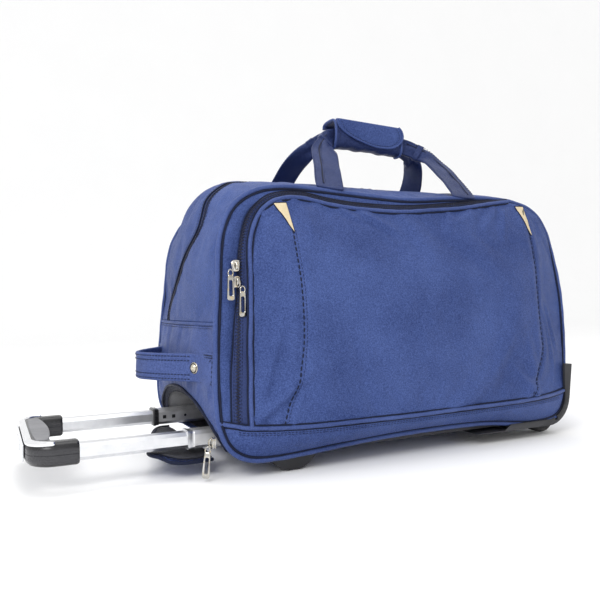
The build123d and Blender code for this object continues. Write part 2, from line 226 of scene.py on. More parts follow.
def sheet_from(name, grid, mat, body="bag", flip=False, keep=None):
    """An open sheet over a grid of points; keep(centre) can leave faces out."""
    rows, columns = grid.shape[:2]
    faces = grid_faces(rows, columns)
    points = grid.reshape(-1, 3)
    if flip:
        faces = [f[::-1] for f in faces]
    if keep is not None:
        faces = [f for f in faces if keep(points[list(f)].mean(0))]
    return make(name, points, faces, mat, grid_uv(grid), body)


def thicken(piece, thickness, levels=1, offset=-1.0):
    """Give a sheet its padded thickness and one subdivision."""
    solid = piece.modifiers.new("Thickness", "SOLIDIFY")
    solid.thickness = thickness * MM
    solid.offset = offset
    if levels:
        finer = piece.modifiers.new("Subdivision", "SUBSURF")
        finer.levels = levels
        finer.render_levels = levels
    return piece


def finalise(piece):
    """Replace a piece's mesh with its modified one."""
    graph = bpy.context.evaluated_depsgraph_get()
    mesh = bpy.data.meshes.new_from_object(piece.evaluated_get(graph))
    piece.modifiers.clear()
    piece.data = mesh
    return piece


def patch(bottom, top, left, right, across, up):
    """A grid that fills four sides: bottom and top run left to right, left and right run upward."""
    b, t = resample(bottom, across), resample(top, across)
    l, r = resample(left, up), resample(right, up)
    u = np.linspace(0, 1, across)[:, None, None]
    v = np.linspace(0, 1, up)[None, :, None]
    ruled_v = b[:, None] * (1 - v) + t[:, None] * v
    ruled_u = l[None] * (1 - u) + r[None] * u
    corners = (b[0] * (1 - u) * (1 - v) + b[-1] * u * (1 - v) + t[0] * (1 - u) * v + t[-1] * u * v)
    return ruled_v + ruled_u - corners


def between(first, second, along, across, bias=1.0):
    """A grid of straight lines from one path to another."""
    a, b = resample(first, along), resample(second, along)
    w = (np.linspace(0, 1, across) ** bias)[None, :, None]
    return a[:, None] * (1 - w) + b[:, None] * w


def sweep(name, path, side, up, profile, mat, body="bag", closed=False):
    """A profile of (side, up) points carried along a path, with capped ends."""
    n = len(path)
    profile = np.asarray(profile, float)
    if profile.ndim == 2:
        profile = np.repeat(profile[None], n, 0)
    m = profile.shape[1]
    grid = path[:, None] + side[:, None] * profile[:, :, :1] + up[:, None] * profile[:, :, 1:]
    points = grid.reshape(-1, 3)
    uv = grid_uv(grid)
    if closed:
        faces = []
        for i in range(n):
            k = (i + 1) % n
            for j in range(m):
                q = (j + 1) % m
                faces.append((i * m + j, i * m + q, k * m + q, k * m + j))
    else:
        faces = capped_faces(n, m)
    return make(name, points, faces, mat, uv, body)


def frames_for(path, normal, closed=False):
    """Side and up vectors along a path, with up as near as possible to the given normals."""
    t = tangents(path, closed)
    normal = np.broadcast_to(np.asarray(normal, float), path.shape)
    up = unit(normal - t * (normal * t).sum(1, keepdims=True))
    return np.cross(t, up), up


def round_profile(radius, count=10):
    a = np.linspace(0, 2 * math.pi, count, endpoint=False)
    return np.stack([np.cos(a), np.sin(a)], 1) * radius


def flat_profile(width, thickness, count=6):
    """A strap's section: flat faces, rounded and slightly thinner edges."""
    a = np.linspace(-math.pi / 2, math.pi / 2, count)
    r = thickness / 2
    right = np.stack([width / 2 - r + r * np.cos(a), r * np.sin(a)], 1)
    top = np.stack([np.linspace(width / 2 - r, r - width / 2, 7)[1:-1], np.full(5, r)], 1)
    left = np.stack([r - width / 2 - r * np.cos(a), -r * np.sin(a)], 1)
    bottom = -top
    return np.vstack([right, top, left, bottom])


def cord(name, path, radius, mat, body="bag", closed=False, wobble=0.25):
    """A sewn piping cord that wanders a little, as stitched cord does."""
    seed = dice.random() * 50
    run = np.arange(len(path)) * 0.9
    shift = np.stack([np.sin(run * 0.31 + seed), np.cos(run * 0.23 + seed * 2),
                      np.sin(run * 0.17 + seed * 3)], 1)
    path = path + shift * wobble
    side, up = frames_for(path, (0.13, 0.83, 0.21), closed)
    swell = 1 + 0.05 * np.sin(run * 0.9 + seed)
    profile = round_profile(radius)[None] * swell[:, None, None]
    return sweep(name, path, side, up, profile, mat, body, closed)


def copies(name, shape, faces, places, mat, body="bag"):
    """Many small copies of one shape; places holds (origin, along, side, up) for each."""
    shape = np.asarray(shape, float)
    points, all_faces = [], []
    for count, (origin, along, side, up) in enumerate(places):
        points.append(origin + shape[:, :1] * along + shape[:, 1:2] * side + shape[:, 2:] * up)
        start = count * len(shape)
        all_faces += [tuple(start + k for k in f) for f in faces]
    return make(name, np.vstack(points), all_faces, mat, None, body)


def bead(length, width, height, rings=4, sides=6):
    """A short rounded bar along x, as used for stitches and zip teeth."""
    points = []
    for i in range(rings):
        a = math.pi * (i + 0.5) / rings
        for j in range(sides):
            b = 2 * math.pi * j / sides
            points.append((-math.cos(a) * length / 2, math.sin(a) ** 0.6 * math.cos(b) * width / 2,
                           math.sin(a) ** 0.6 * math.sin(b) * height / 2))
    return points, capped_faces(rings, sides)


def lay(piece, points, lift=0.0, direction=None):
    """Put points on a piece's surface.  Returns the points, raised by lift, and the normals there."""
    graph = bpy.context.evaluated_depsgraph_get()
    tree = BVHTree.FromObject(piece, graph)
    spots, normals = [], []
    for p in to_row(points):
        if direction is None:
            hit, normal, _, _ = tree.find_nearest(Vector(p))
        else:
            ray = Vector(direction)
            hit, normal, _, _ = tree.ray_cast(Vector(p) - ray * 0.3, ray)
            if hit is None:
                hit, normal, _, _ = tree.find_nearest(Vector(p))
        if direction is not None and normal.dot(Vector(direction)) > 0:
            normal = -normal
        spots.append(hit)
        normals.append(normal)
    spots = (np.array(spots) - np.array([ORIGIN_X, ORIGIN_Y, 0.0])) / MM
    normals = np.array(normals)
    return spots + normals * lift, normals


def stitches(name, lines, mat="thread", body="bag", length=3.0, gap=1.3, width=0.9):
    """Rows of sewn stitches along (path, normals) lines."""
    places = []
    for path, normals in lines:
        total = length_of(path)
        count = max(2, int(total / (length + gap)))
        spots = resample(path, count * 4 + 1)
        ups = unit(resample(np.asarray(normals, float), count * 4 + 1))
        for k in range(count):
            a, b = spots[4 * k], spots[4 * k + 3]
            along = unit(b - a)
            up = unit(ups[4 * k + 1] - along * np.dot(ups[4 * k + 1], along))
            places.append(((a + b) / 2 + up * 0.1, along, np.cross(up, along), up))
    shape, faces = bead(length, width, width * 0.7)
    return copies(name, shape, faces, places, mat, body)


def coil(name, path, normals, mat, body="bag", pitch=1.9, width=4.6):
    """The teeth of a coil zip: small bars across the path, alternately left and right."""
    count = int(length_of(path) / pitch)
    spots, ups = resample(path, count), unit(resample(np.asarray(normals, float), count))
    t = tangents(spots)
    places = []
    for k in range(count):
        up = unit(ups[k] - t[k] * np.dot(ups[k], t[k]))
        side = np.cross(up, t[k])
        shift = 0.9 if k % 2 else -0.9
        places.append((spots[k] + side * shift, side, t[k], up))
    shape, faces = bead(width, pitch * 0.8, 1.5)
    return copies(name, shape, faces, places, mat, body)


def cushion(name, loop, frame_of, thickness, mat, body="bag", rings=9, flat=0.35):
    """A closed pad inside a loop of (a, b) points; frame_of(a, b, offset) gives its place in the bag."""
    loop = np.asarray(loop, float)
    centre = loop.mean(0)
    n = len(loop)
    share = (np.arange(rings) / rings) ** 1.35
    points, uv = [], []
    for side in (1, -1):
        for s in share if side > 0 else share[1:]:
            ring = centre + (loop - centre) * (1 - s)
            swell = flat + (1 - flat) * math.sin(min(1, s * 1.6) * math.pi / 2) if s > 0 else 0.0
            points.append(frame_of(ring[:, 0], ring[:, 1], np.full(n, side * thickness / 2 * swell)))
            uv.append(ring)
    top, under = 0, rings * n
    faces = []
    for i in range(rings - 1):
        faces += [(top + i * n + j, top + (i + 1) * n + j, top + (i + 1) * n + (j + 1) % n,
                   top + i * n + (j + 1) % n) for j in range(n)]
    for j in range(n):
        k = (j + 1) % n
        faces.append((j, k, under + k, under + j))
    for i in range(rings - 2):
        faces += [(under + i * n + j, under + i * n + (j + 1) % n, under + (i + 1) * n + (j + 1) % n,
                   under + (i + 1) * n + j) for j in range(n)]
    body_points = np.vstack(points)
    for side, start in ((1, (rings - 1) * n), (-1, under + (rings - 2) * n)):
        tip = len(body_points)
        at = frame_of(centre[:1], centre[1:], np.array([side * thickness / 2]))
        body_points = np.vstack([body_points, at])
        uv.append(centre[None])
        for j in range(n):
            k = (j + 1) % n
            faces.append((start + j, tip, start + k) if side > 0 else (start + k, tip, start + j))
    return make(name, body_points, faces, mat, np.vstack(uv), body)


def rectangle(x0, x1, y0, y1, radii, per_corner=6):
    """A loop round a rectangle, anticlockwise; radii from the low left corner on."""
    corners = ((x0, y0, 1, 1), (x1, y0, -1, 1), (x1, y1, -1, -1), (x0, y1, 1, -1))
    points = []
    for k, ((x, y, sx, sy), r) in enumerate(zip(corners, radii)):
        for a in np.linspace(180 + 90 * k, 270 + 90 * k, per_corner):
            points.append((x + sx * r + r * math.cos(math.radians(a)),
                           y + sy * r + r * math.sin(math.radians(a))))
    return np.array(points)


def refined(node, mat, bevel=0.6, angle=28.0, segments=2, shape=None):
    """A CAD node's own shape with softened edges and a proper material."""
    source = frame["nodes"][node]
    mesh = source.data.copy()
    if shape:
        for vertex in mesh.vertices:
            x, z = (vertex.co.x - ORIGIN_X) / MM, vertex.co.z / MM
            new_x, new_z = shape(x, z)
            vertex.co.x += (new_x - x) * MM
            vertex.co.z += (new_z - z) * MM
    piece = bpy.data.objects.new(node + "_finish", mesh)
    bpy.context.scene.collection.objects.link(piece)
    weld = piece.modifiers.new("Weld", "WELD")
    weld.merge_threshold = 0.00002
    plain = piece.modifiers.new("Planar", "DECIMATE")
    plain.decimate_type = "DISSOLVE"
    plain.angle_limit = math.radians(1.5)
    soft = piece.modifiers.new("Bevel", "BEVEL")
    soft.width = bevel * MM
    soft.segments = segments
    soft.limit_method = "ANGLE"
    soft.angle_limit = math.radians(angle)
    soft.harden_normals = False
    finalise(piece)
    piece.data.materials.clear()
    piece.data.materials.append(MATERIALS[mat])
    piece.data.polygons.foreach_set("use_smooth", [True] * len(piece.data.polygons))
    piece.data.set_sharp_from_angle(angle=math.radians(angle + 8))
    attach(piece, source["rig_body"])
    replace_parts(piece, node)
    return piece


# ---- cloth ------------------------------------------------------------------------------------
def slacken(piece, pinned, grow, cap, frames=16, bend=0.6):
    """Let a sheet with more cloth than its outline needs settle between its sewn edges."""
    count = len(piece.data.vertices)
    start = np.empty(count * 3)
    piece.data.vertices.foreach_get("co", start)
    group = piece.vertex_groups.new(name="sewn")
    group.add([int(k) for k in pinned], 1.0, "REPLACE")
    modifier = piece.modifiers.new("Cloth", "CLOTH")
    settings = modifier.settings
    settings.quality = 6
    settings.mass = 0.25
    settings.tension_stiffness = 18
    settings.compression_stiffness = 18
    settings.shear_stiffness = 8
    settings.bending_stiffness = bend
    settings.tension_damping = 12
    settings.air_damping = 4
    settings.vertex_group_mass = "sewn"
    settings.shrink_min = -grow
    settings.effector_weights.gravity = 0.0
    modifier.collision_settings.use_collision = False
    modifier.point_cache.frame_start = 1
    modifier.point_cache.frame_end = frames
    scene = bpy.context.scene
    for step in range(1, frames + 1):
        scene.frame_set(step)
    graph = bpy.context.evaluated_depsgraph_get()
    settled = piece.evaluated_get(graph)
    end = np.empty(count * 3)
    settled.data.vertices.foreach_get("co", end)
    move = (end - start).reshape(-1, 3)
    far = np.linalg.norm(move, axis=1, keepdims=True)
    limit = cap * MM
    move *= np.where(far > 1e-9, limit * np.tanh(far / limit) / np.maximum(far, 1e-9), 1.0)
    piece.modifiers.remove(modifier)
    piece.vertex_groups.remove(group)
    piece.data.vertices.foreach_set("co", (start.reshape(-1, 3) + move).ravel())
    piece.data.update()
    scene.frame_set(1)
    return piece


def rim(rows, columns):
    """Indices of a grid's outer points."""
    k = np.arange(rows * columns).reshape(rows, columns)
    return np.unique(np.concatenate([k[0], k[-1], k[:, 0], k[:, -1]]))


def creases(x, z, folds):
    """Height of listed folds: each is start, end, width and height."""
    height = np.zeros_like(x)
    for (x0, z0), (x1, z1), width, rise in folds:
        dx, dz = x1 - x0, z1 - z0
        size = math.hypot(dx, dz)
        t = ((x - x0) * dx + (z - z0) * dz) / size ** 2
        off = ((x - x0) * dz - (z - z0) * dx) / size
        body = np.exp(-(off / width) ** 2) - 0.6 * np.exp(-((off - width * 1.3) / (width * 0.9)) ** 2)
        height += rise * body * smooth(t * 4 + 0.15) * smooth((1.15 - t) * 1.6) * (t < 1.15) * (t > -0.05)
    return height


# ---- materials --------------------------------------------------------------------------------
def node(tree, kind, inputs=None, **settings):
    """Add a shader node; an input is a value or another node's output."""
    made = tree.nodes.new("ShaderNode" + kind)
    for key, value in settings.items():
        setattr(made, key, value)
    for key, value in (inputs or {}).items():
        socket = made.inputs[key]
        if isinstance(value, bpy.types.NodeSocket):
            tree.links.new(value, socket)
        else:
            socket.default_value = value
    return made


def maths(tree, operation, a, b=0.0):
    return node(tree, "Math", {0: a, 1: b}, operation=operation).outputs[0]


def noise(tree, where, scale, detail=3.0, rough=0.55):
    return node(tree, "TexNoise", {"Vector": where, "Scale": scale, "Detail": detail, "Roughness": rough}
                ).outputs["Fac"]


def mix(tree, share, a, b):
    made = node(tree, "Mix", {"Factor": share}, data_type="RGBA")
    for socket, value in ((made.inputs[6], a), (made.inputs[7], b)):
        if isinstance(value, bpy.types.NodeSocket):
            tree.links.new(value, socket)
        else:
            socket.default_value = (*value, 1.0)
    return made.outputs[2]


def span(tree, value, low, high, to_low=0.0, to_high=1.0):
    return node(tree, "MapRange", {"Value": value, "From Min": low, "From Max": high, "To Min": to_low,
                                   "To Max": to_high}).outputs[0]


def start_material(name, roughness, metallic=0.0):
    """A new material with its tree, its main shader and object coordinates."""
    mat = bpy.data.materials.new(name)
    mat.use_nodes = True
    tree = mat.node_tree
    shader = tree.nodes["Principled BSDF"]
    shader.inputs["Roughness"].default_value = roughness
    shader.inputs["Metallic"].default_value = metallic
    where = node(tree, "TexCoord")
    return mat, tree, shader, where


def bump(tree, shader, height, strength, distance):
    made = node(tree, "Bump", {"Height": height, "Strength": strength, "Distance": distance})
    tree.links.new(made.outputs[0], shader.inputs["Normal"])


def weave(tree, where, pitch, diagonal=0.5):
    """Over-and-under threads of a plain weave with a slight diagonal, from the sheet's own lengths."""
    parts = node(tree, "SeparateXYZ", {0: where.outputs["UV"]})
    turn = 2 * math.pi / (pitch * MM)
    u = maths(tree, "SINE", maths(tree, "MULTIPLY", parts.outputs[0], turn))
    v = maths(tree, "SINE", maths(tree, "MULTIPLY", parts.outputs[1], turn))
    both = maths(tree, "ADD", parts.outputs[0], parts.outputs[1])
    twill = maths(tree, "SINE", maths(tree, "MULTIPLY", both, turn * 0.5))
    threads = maths(tree, "MULTIPLY", u, v)
    return maths(tree, "ADD", threads, maths(tree, "MULTIPLY", twill, diagonal))


def fabric(name, dark, light, pitch=1.15, rough=0.50, sheen=0.08, speck=0.6, relief=0.35):
    """Woven polyester: threads, heathered specks, slow shade changes and rubbed edges."""
    mat, tree, shader, where = start_material(name, rough)
    place_of = where.outputs["Object"]
    threads = weave(tree, where, pitch)
    fine = noise(tree, place_of, 620.0, 3.0, 0.7)
    cloud = noise(tree, place_of, 9.0, 4.0)
    patchy = noise(tree, place_of, 60.0, 3.0)
    share = maths(tree, "ADD", maths(tree, "MULTIPLY", span(tree, fine, 0.36, 0.64), speck),
                  maths(tree, "MULTIPLY", span(tree, cloud, 0.35, 0.65), 0.3))
    share = maths(tree, "ADD", share, maths(tree, "MULTIPLY", threads, 0.10))
    worn = span(tree, node(tree, "NewGeometry").outputs["Pointiness"], 0.52, 0.62)
    share = maths(tree, "ADD", share, maths(tree, "MULTIPLY", worn, 0.35))
    tree.links.new(mix(tree, share, dark, light), shader.inputs["Base Color"])
    shade = span(tree, patchy, 0.3, 0.7, rough - 0.05, rough + 0.08)
    tree.links.new(shade, shader.inputs["Roughness"])
    shader.inputs["Sheen Weight"].default_value = sheen
    shader.inputs["Sheen Roughness"].default_value = 0.35
    shader.inputs["Sheen Tint"].default_value = (*[min(1.0, c * 3.0 + 0.05) for c in light], 1.0)
    shader.inputs["Specular IOR Level"].default_value = 0.2
    shader.inputs["Specular Tint"].default_value = (0.55, 0.66, 1.0, 1.0)
    height = maths(tree, "ADD", threads, maths(tree, "MULTIPLY", fine, 1.4))
    bump(tree, shader, height, relief, 0.0004)
    return mat


def webbing(name, dark, light, rib=1.7):
    """Woven webbing: ribs along the strap, cross threads and a satin edge."""
    mat, tree, shader, where = start_material(name, 0.55)
    parts = node(tree, "SeparateXYZ", {0: where.outputs["UV"]})
    ribs = maths(tree, "SINE", maths(tree, "MULTIPLY", parts.outputs[1], 2 * math.pi / (rib * MM)))
    cross = maths(tree, "SINE", maths(tree, "MULTIPLY", parts.outputs[0], 2 * math.pi / (1.1 * MM)))
    fine = noise(tree, where.outputs["Object"], 1300.0, 2.0)
    cloud = noise(tree, where.outputs["Object"], 30.0, 3.0)
    share = maths(tree, "ADD", maths(tree, "MULTIPLY", span(tree, fine, 0.3, 0.7), 0.45),
                  maths(tree, "MULTIPLY", span(tree, cloud, 0.35, 0.65), 0.35))
    share = maths(tree, "ADD", share, maths(tree, "MULTIPLY", ribs, 0.12))
    tree.links.new(mix(tree, share, dark, light), shader.inputs["Base Color"])
    shader.inputs["Sheen Weight"].default_value = 0.3
    shader.inputs["Sheen Roughness"].default_value = 0.35
    shader.inputs["Specular IOR Level"].default_value = 0.35
    height = maths(tree, "ADD", ribs, maths(tree, "MULTIPLY", cross, 0.5))
    bump(tree, shader, maths(tree, "ADD", height, fine), 0.4, 0.0004)
    return mat


def plastic(name, dark, light, rough=0.42, grain=900.0, relief=0.12, coat=0.0):
    """Moulded plastic: fine spark-eroded grain, faint flow marks, scuffs and paler rubbed edges."""
    mat, tree, shader, where = start_material(name, rough)
    place_of = where.outputs["Object"]
    fine = noise(tree, place_of, grain, 3.0)
    flow = noise(tree, place_of, 25.0, 4.0)
    scuff = noise(tree, node(tree, "Mapping", {"Vector": place_of, "Scale": (1.0, 6.0, 6.0)}).outputs[0],
                  90.0, 5.0, 0.7)
    worn = span(tree, node(tree, "NewGeometry").outputs["Pointiness"], 0.51, 0.6)
    share = maths(tree, "ADD", maths(tree, "MULTIPLY", span(tree, flow, 0.35, 0.7), 0.4),
                  maths(tree, "MULTIPLY", worn, 0.7))
    share = maths(tree, "ADD", share, maths(tree, "MULTIPLY", span(tree, scuff, 0.62, 0.75), 0.5))
    tree.links.new(mix(tree, share, dark, light), shader.inputs["Base Color"])
    tree.links.new(span(tree, scuff, 0.3, 0.75, rough - 0.06, rough + 0.16), shader.inputs["Roughness"])
    shader.inputs["Coat Weight"].default_value = coat
    shader.inputs["Specular IOR Level"].default_value = 0.3
    bump(tree, shader, fine, relief, 0.0003)
    return mat


def metal(name, dark, light, rough=0.25, drawn=0.0, second_tone_share=0.0, tone=(0.7, 0.55, 0.3)):
    """Metal: drawn lines along x, cloudy polish, hairline scratches and, where asked, specks of a second
    tone: dark patina on the brass, and on the zip pulls gold specks that are partly worn plating and partly
    painted glints.
    """
    mat, tree, shader, where = start_material(name, rough, 1.0)
    place_of = where.outputs["Object"]
    lines = noise(tree, node(tree, "Mapping", {"Vector": place_of, "Scale": (4.0, 700.0, 700.0)}).outputs[0],
                  1.0, 4.0)
    cloud = noise(tree, place_of, 60.0, 4.0)
    specks = noise(tree, place_of, 420.0, 4.0, 0.7)
    share = maths(tree, "ADD", maths(tree, "MULTIPLY", span(tree, cloud, 0.35, 0.65), 0.6),
                  maths(tree, "MULTIPLY", lines, drawn))
    colour = mix(tree, share, dark, light)
    if second_tone_share:
        colour = mix(tree, maths(tree, "MULTIPLY", span(tree, specks, 0.52, 0.66), second_tone_share), colour, tone)
    tree.links.new(colour, shader.inputs["Base Color"])
    tree.links.new(span(tree, maths(tree, "ADD", lines, cloud), 0.6, 1.4, rough - 0.05, rough + 0.12),
                   shader.inputs["Roughness"])
    bump(tree, shader, maths(tree, "ADD", lines, maths(tree, "MULTIPLY", specks, 0.5)), 0.08 + 0.1 * drawn,
         0.0001)
    return mat


def rubber(name):
    """Tyre rubber with dust in its pores."""
    mat, tree, shader, where = start_material(name, 0.8)
    fine = noise(tree, where.outputs["Object"], 700.0, 5.0)
    dust = noise(tree, where.outputs["Object"], 70.0, 5.0)
    tree.links.new(mix(tree, span(tree, dust, 0.45, 0.75), (0.018, 0.018, 0.02), (0.11, 0.105, 0.10)),
                   shader.inputs["Base Color"])
    bump(tree, shader, fine, 0.4, 0.0005)
    return mat


def fibreboard(name):
    """The base's stiffening board under its black cloth."""
    mat, tree, shader, where = start_material(name, 0.75)
    fibres = noise(tree, node(tree, "Mapping", {"Vector": where.outputs["Object"], "Scale": (3.0, 1.0, 1.0)}
                              ).outputs[0], 260.0, 6.0)
    tree.links.new(mix(tree, fibres, (0.012, 0.012, 0.014), (0.07, 0.07, 0.08)), shader.inputs["Base Color"])
    bump(tree, shader, fibres, 0.3, 0.0006)
    return mat


def floor_material(name):
    mat, tree, shader, where = start_material(name, 0.9)
    soft = noise(tree, where.outputs["Object"], 3.0, 2.0)
    tree.links.new(mix(tree, soft, (0.93, 0.93, 0.93), (0.95, 0.95, 0.95)), shader.inputs["Base Color"])
    return mat


MATERIALS = {
    "fabric": fabric("navy_fabric", (0.016, 0.029, 0.110), (0.072, 0.114, 0.305)),
    "lower_fabric": fabric("navy_fabric_lower", (0.022, 0.036, 0.122), (0.090, 0.132, 0.335)),
    "piping": fabric("piping_satin", (0.026, 0.043, 0.140), (0.086, 0.128, 0.320), 0.9, 0.40, 0.1, 0.4, 0.2),
    "lining": fabric("grey_lining", (0.34, 0.34, 0.35), (0.66, 0.66, 0.67), 0.9, 0.4, 0.1, 0.4, 0.2),
    "insert": fabric("cream_insert", (0.56, 0.46, 0.29), (0.76, 0.65, 0.44), 0.8, 0.5, 0.05, 0.3, 0.2),
    "zip_tape": fabric("zip_tape_weave", (0.020, 0.030, 0.095), (0.050, 0.072, 0.185), 1.0, 0.6, 0.1, 0.4,
                       0.35),
    # near-black cloth: real bindings, tapes and stitches, and also the cords that paint shadow lines beside
    # the piping, at the pocket zip's lip and along the strap folds
    "edging_and_painted_shadow": fabric("dark_edging", (0.006, 0.007, 0.018), (0.018, 0.022, 0.045), 0.9, 0.55, 0.05, 0.4, 0.3),
    "thread": fabric("sewing_thread", (0.008, 0.011, 0.032), (0.020, 0.027, 0.072), 0.5, 0.5, 0.05, 0.3, 0.1),
    "webbing": webbing("navy_webbing", (0.025, 0.037, 0.115), (0.068, 0.095, 0.235)),
    "strap": fabric("navy_strap_cloth", (0.009, 0.015, 0.058), (0.040, 0.058, 0.160), 1.0, 0.40, 0.06, 0.6,
                    0.4),
    "dark_lining": fabric("charcoal_lining", (0.012, 0.012, 0.014), (0.085, 0.085, 0.095), 0.9, 0.45, 0.05,
                          0.5, 0.3),
    "coil": plastic("zip_coil_nylon", (0.008, 0.009, 0.022), (0.035, 0.040, 0.075), 0.35, 700.0, 0.1),
    "black": plastic("black_moulding", (0.012, 0.012, 0.014), (0.05, 0.05, 0.055), 0.34),
    "gloss_black": plastic("black_socket", (0.008, 0.008, 0.009), (0.045, 0.045, 0.05), 0.26, 900.0, 0.08,
                           0.12),
    "grey": plastic("grey_moulding", (0.17, 0.17, 0.18), (0.33, 0.33, 0.345), 0.5, 1100.0, 0.25),
    "pale": plastic("pale_moulding", (0.60, 0.61, 0.63), (0.78, 0.79, 0.81), 0.32, 900.0, 0.06, 0.3),
    "tube": metal("satin_aluminium", (0.66, 0.67, 0.69), (0.82, 0.825, 0.84), 0.30, 0.5),
    "tube_middle": metal("grey_aluminium", (0.56, 0.56, 0.57), (0.76, 0.76, 0.77), 0.46, 0.5),
    "chrome": metal("polished_trim", (0.82, 0.83, 0.85), (0.95, 0.95, 0.96), 0.10, 0.0),
    "steel": metal("zinc_steel", (0.45, 0.45, 0.47), (0.66, 0.66, 0.68), 0.32, 0.3),
    # the gold specks on the zip metal are partly worn gold plating and partly painted warm glints
    "zip_metal": metal("zip_plating", (0.30, 0.29, 0.27), (0.86, 0.85, 0.82), 0.16, 0.0, 0.75,
                       (0.62, 0.47, 0.22)),
    "brass": metal("antique_brass", (0.34, 0.31, 0.26), (0.86, 0.80, 0.66), 0.18, 0.0, 0.35,
                   (0.10, 0.085, 0.06)),
    "tyre": rubber("tyre_rubber"),
    "board": fibreboard("base_fibreboard"),
    "floor": floor_material("studio_floor"),
}


# ---- outlines of the bag ----------------------------------------------------------------------
# x and z of the piping round the front, anticlockwise from the low left corner.
EDGE_POINTS = [(60, 19), (160, 25), (270, 30), (380, 29), (470, 21), (522, 29), (541, 66), (545, 104),
               (550, 150), (552, 200), (546, 256), (535, 300), (512, 330), (474, 343), (430, 346), (366, 343),
               (290, 337), (225, 338), (150, 342), (105, 343), (70, 338), (43, 325), (25, 305), (13, 270),
               (7, 205), (2, 150), (0, 100), (3, 56), (21, 28)]
# x and z of the line of piping round the pocket, from the band up the left side and over the top.
POCKET_POINTS = [(37, 58), (38, 110), (40, 157), (44, 215), (47, 262), (55, 292), (69, 313), (90, 325),
                 (119, 328), (160, 322), (204, 318), (266, 318), (316, 322), (369, 328), (425, 337),
                 (458, 342)]
# the zip beside that piping, and the piping along the top of the band
ZIP_POINTS = [(24, 62), (25, 95), (29, 157), (35, 225), (38.5, 262), (46.5, 294), (60, 315), (82, 330),
              (119, 334.5), (160, 329), (204, 325), (266, 325), (330, 330), (395, 338), (440, 344)]
BAND_POINTS = [(0, 65), (20, 61), (41, 58), (121, 56), (262, 56), (396, 58), (490, 60), (541, 64)]

edge_loop = spline(EDGE_POINTS, 420, True)
edge_out = outward(edge_loop)
pocket_line = spline(POCKET_POINTS, 240)
zip_line = spline(ZIP_POINTS, 240)
band_line = spline(BAND_POINTS, 140)


def index_near(loop, x, z):
    """Index of the loop's point nearest to a place."""
    return int(((loop - np.array([x, z])) ** 2).sum(1).argmin())


def stretch(loop, first, last):
    """Part of a closed loop from one index round to another."""
    if last < first:
        last += len(loop)
    return np.take(loop, np.arange(first, last + 1), axis=0, mode="wrap")


def inset(distance):
    """The outline moved inward by a distance."""
    return edge_loop - edge_out * distance


def from_edge(x, z):
    """Distance from points of the front to the outline."""
    points = np.stack([np.ravel(x), np.ravel(z)], 1)
    gaps = np.sqrt(((points[:, None] - edge_loop[None]) ** 2).sum(2)).min(1)
    return gaps.reshape(np.shape(x))


def top_of_pocket(x):
    """Height of the pocket's upper piping."""
    upper = pocket_line[pocket_line[:, 1] > 300]
    return np.interp(x, upper[:, 0], upper[:, 1])


FOLDS = [((40, 62), (108, 122), 7.0, 2.6), ((44, 70), (80, 190), 6.0, 1.2),
         ((196, 316), (262, 286), 6.0, 2.4), ((168, 318), (215, 297), 5.0, 1.3),
         ((392, 326), (338, 300), 7.0, 2.0), ((430, 332), (388, 292), 6.0, 2.2),
         ((446, 336), (424, 280), 6.0, 1.8), ((470, 60), (412, 112), 9.0, 2.6),
         ((468, 62), (446, 150), 7.0, 1.6), ((500, 200), (522, 110), 5.0, 2.0),
         ((492, 190), (512, 80), 5.0, 1.6), ((300, 60), (380, 74), 8.0, 1.2),
         ((120, 322), (126, 262), 8.0, 1.2), ((70, 316), (66, 250), 8.0, 1.0),
         ((350, 322), (330, 282), 8.0, 1.4)]


def pocket_depth(x, z):
    """How far the pocket and band stand proud of the leaning front."""
    across = ease((x - 4) / 125) * ease((549 - x) / 128)
    above = np.clip((top_of_pocket(x) - z) / 128, 0, 1)
    rise = 8 + 24 * ease(above) ** 0.9
    low = -7 * (1 - smooth((z - 56) / 70))
    return across * (rise + low)


def front_at(x, z, depth=0.0):
    """Points in front of the leaning face."""
    return np.stack(np.broadcast_arrays(x, lean(z) - depth, z), -1).astype(float)


def crown(points, normals):
    """How far the gusset bulges outward in its middle, along the outline."""
    top = smooth((normals[:, 1] - 0.25) / 0.7)
    rise = np.clip(CROWN_Z - 0.4 - points[:, 1], 0, 32)
    side = 9.0 - 3.0 * (points[:, 0] > 270)
    return side * (1 - top) + np.minimum(rise, 27) * top


def gusset_at(points, normals, y):
    """Points of the gusset over outline points at depths y (an array of one row per point)."""
    front = lean(points[:, 1])[:, None]
    t = np.clip((y - front) / (DEPTH - 2 * front), 0, 1)
    bulge = crown(points, normals)[:, None] * np.sin(math.pi * t) ** 0.85
    x = points[:, :1] + normals[:, :1] * bulge
    z = points[:, 1:] + normals[:, 1:] * bulge
    return np.stack([x, np.broadcast_to(y, x.shape), z], 2)


seam_right = index_near(edge_loop, LENGTH, SEAM_Z)
seam_left = index_near(edge_loop, 6, SEAM_Z)
UPPER = (seam_right, seam_left)
upper_edge = stretch(edge_loop, *UPPER)
upper_out = stretch(edge_out, *UPPER)


def four_sides(loop, corners):
    """Bottom, top, left and right of a loop, from its corners, low left first and anticlockwise."""
    a, b, c, d = [index_near(loop, *corner) for corner in corners]
    return stretch(loop, a, b), stretch(loop, c, d)[::-1], stretch(loop, d, a)[::-1], stretch(loop, b, c)


CORNERS = [(24, 27), (522, 29), (500, 318), (40, 314)]


# ---- front: panel, pocket, band ---------------------------------------------------------------
def front_panel():
    """The front behind the pocket, puffed a little along its margin."""
    flat = patch(*four_sides(inset(1.0), CORNERS), 96, 60)
    x, z = flat[:, :, 0], flat[:, :, 1]
    gap = from_edge(x, z)
    puff = 2.4 * np.sin(np.clip(gap / 20, 0, 1) * math.pi) - 1.0 * smooth((gap - 16) / 8)
    ripple = 0.5 * np.sin(z * 0.16 + 1.0) * np.sin(z * 0.047) * np.exp(-((gap - 9) / 6) ** 2)
    piece = sheet_from("front_fabric", front_at(x, z, puff + ripple), "fabric", flip=True)
    thicken(piece, 2.5)
    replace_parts(piece, "front_panel")
    return piece


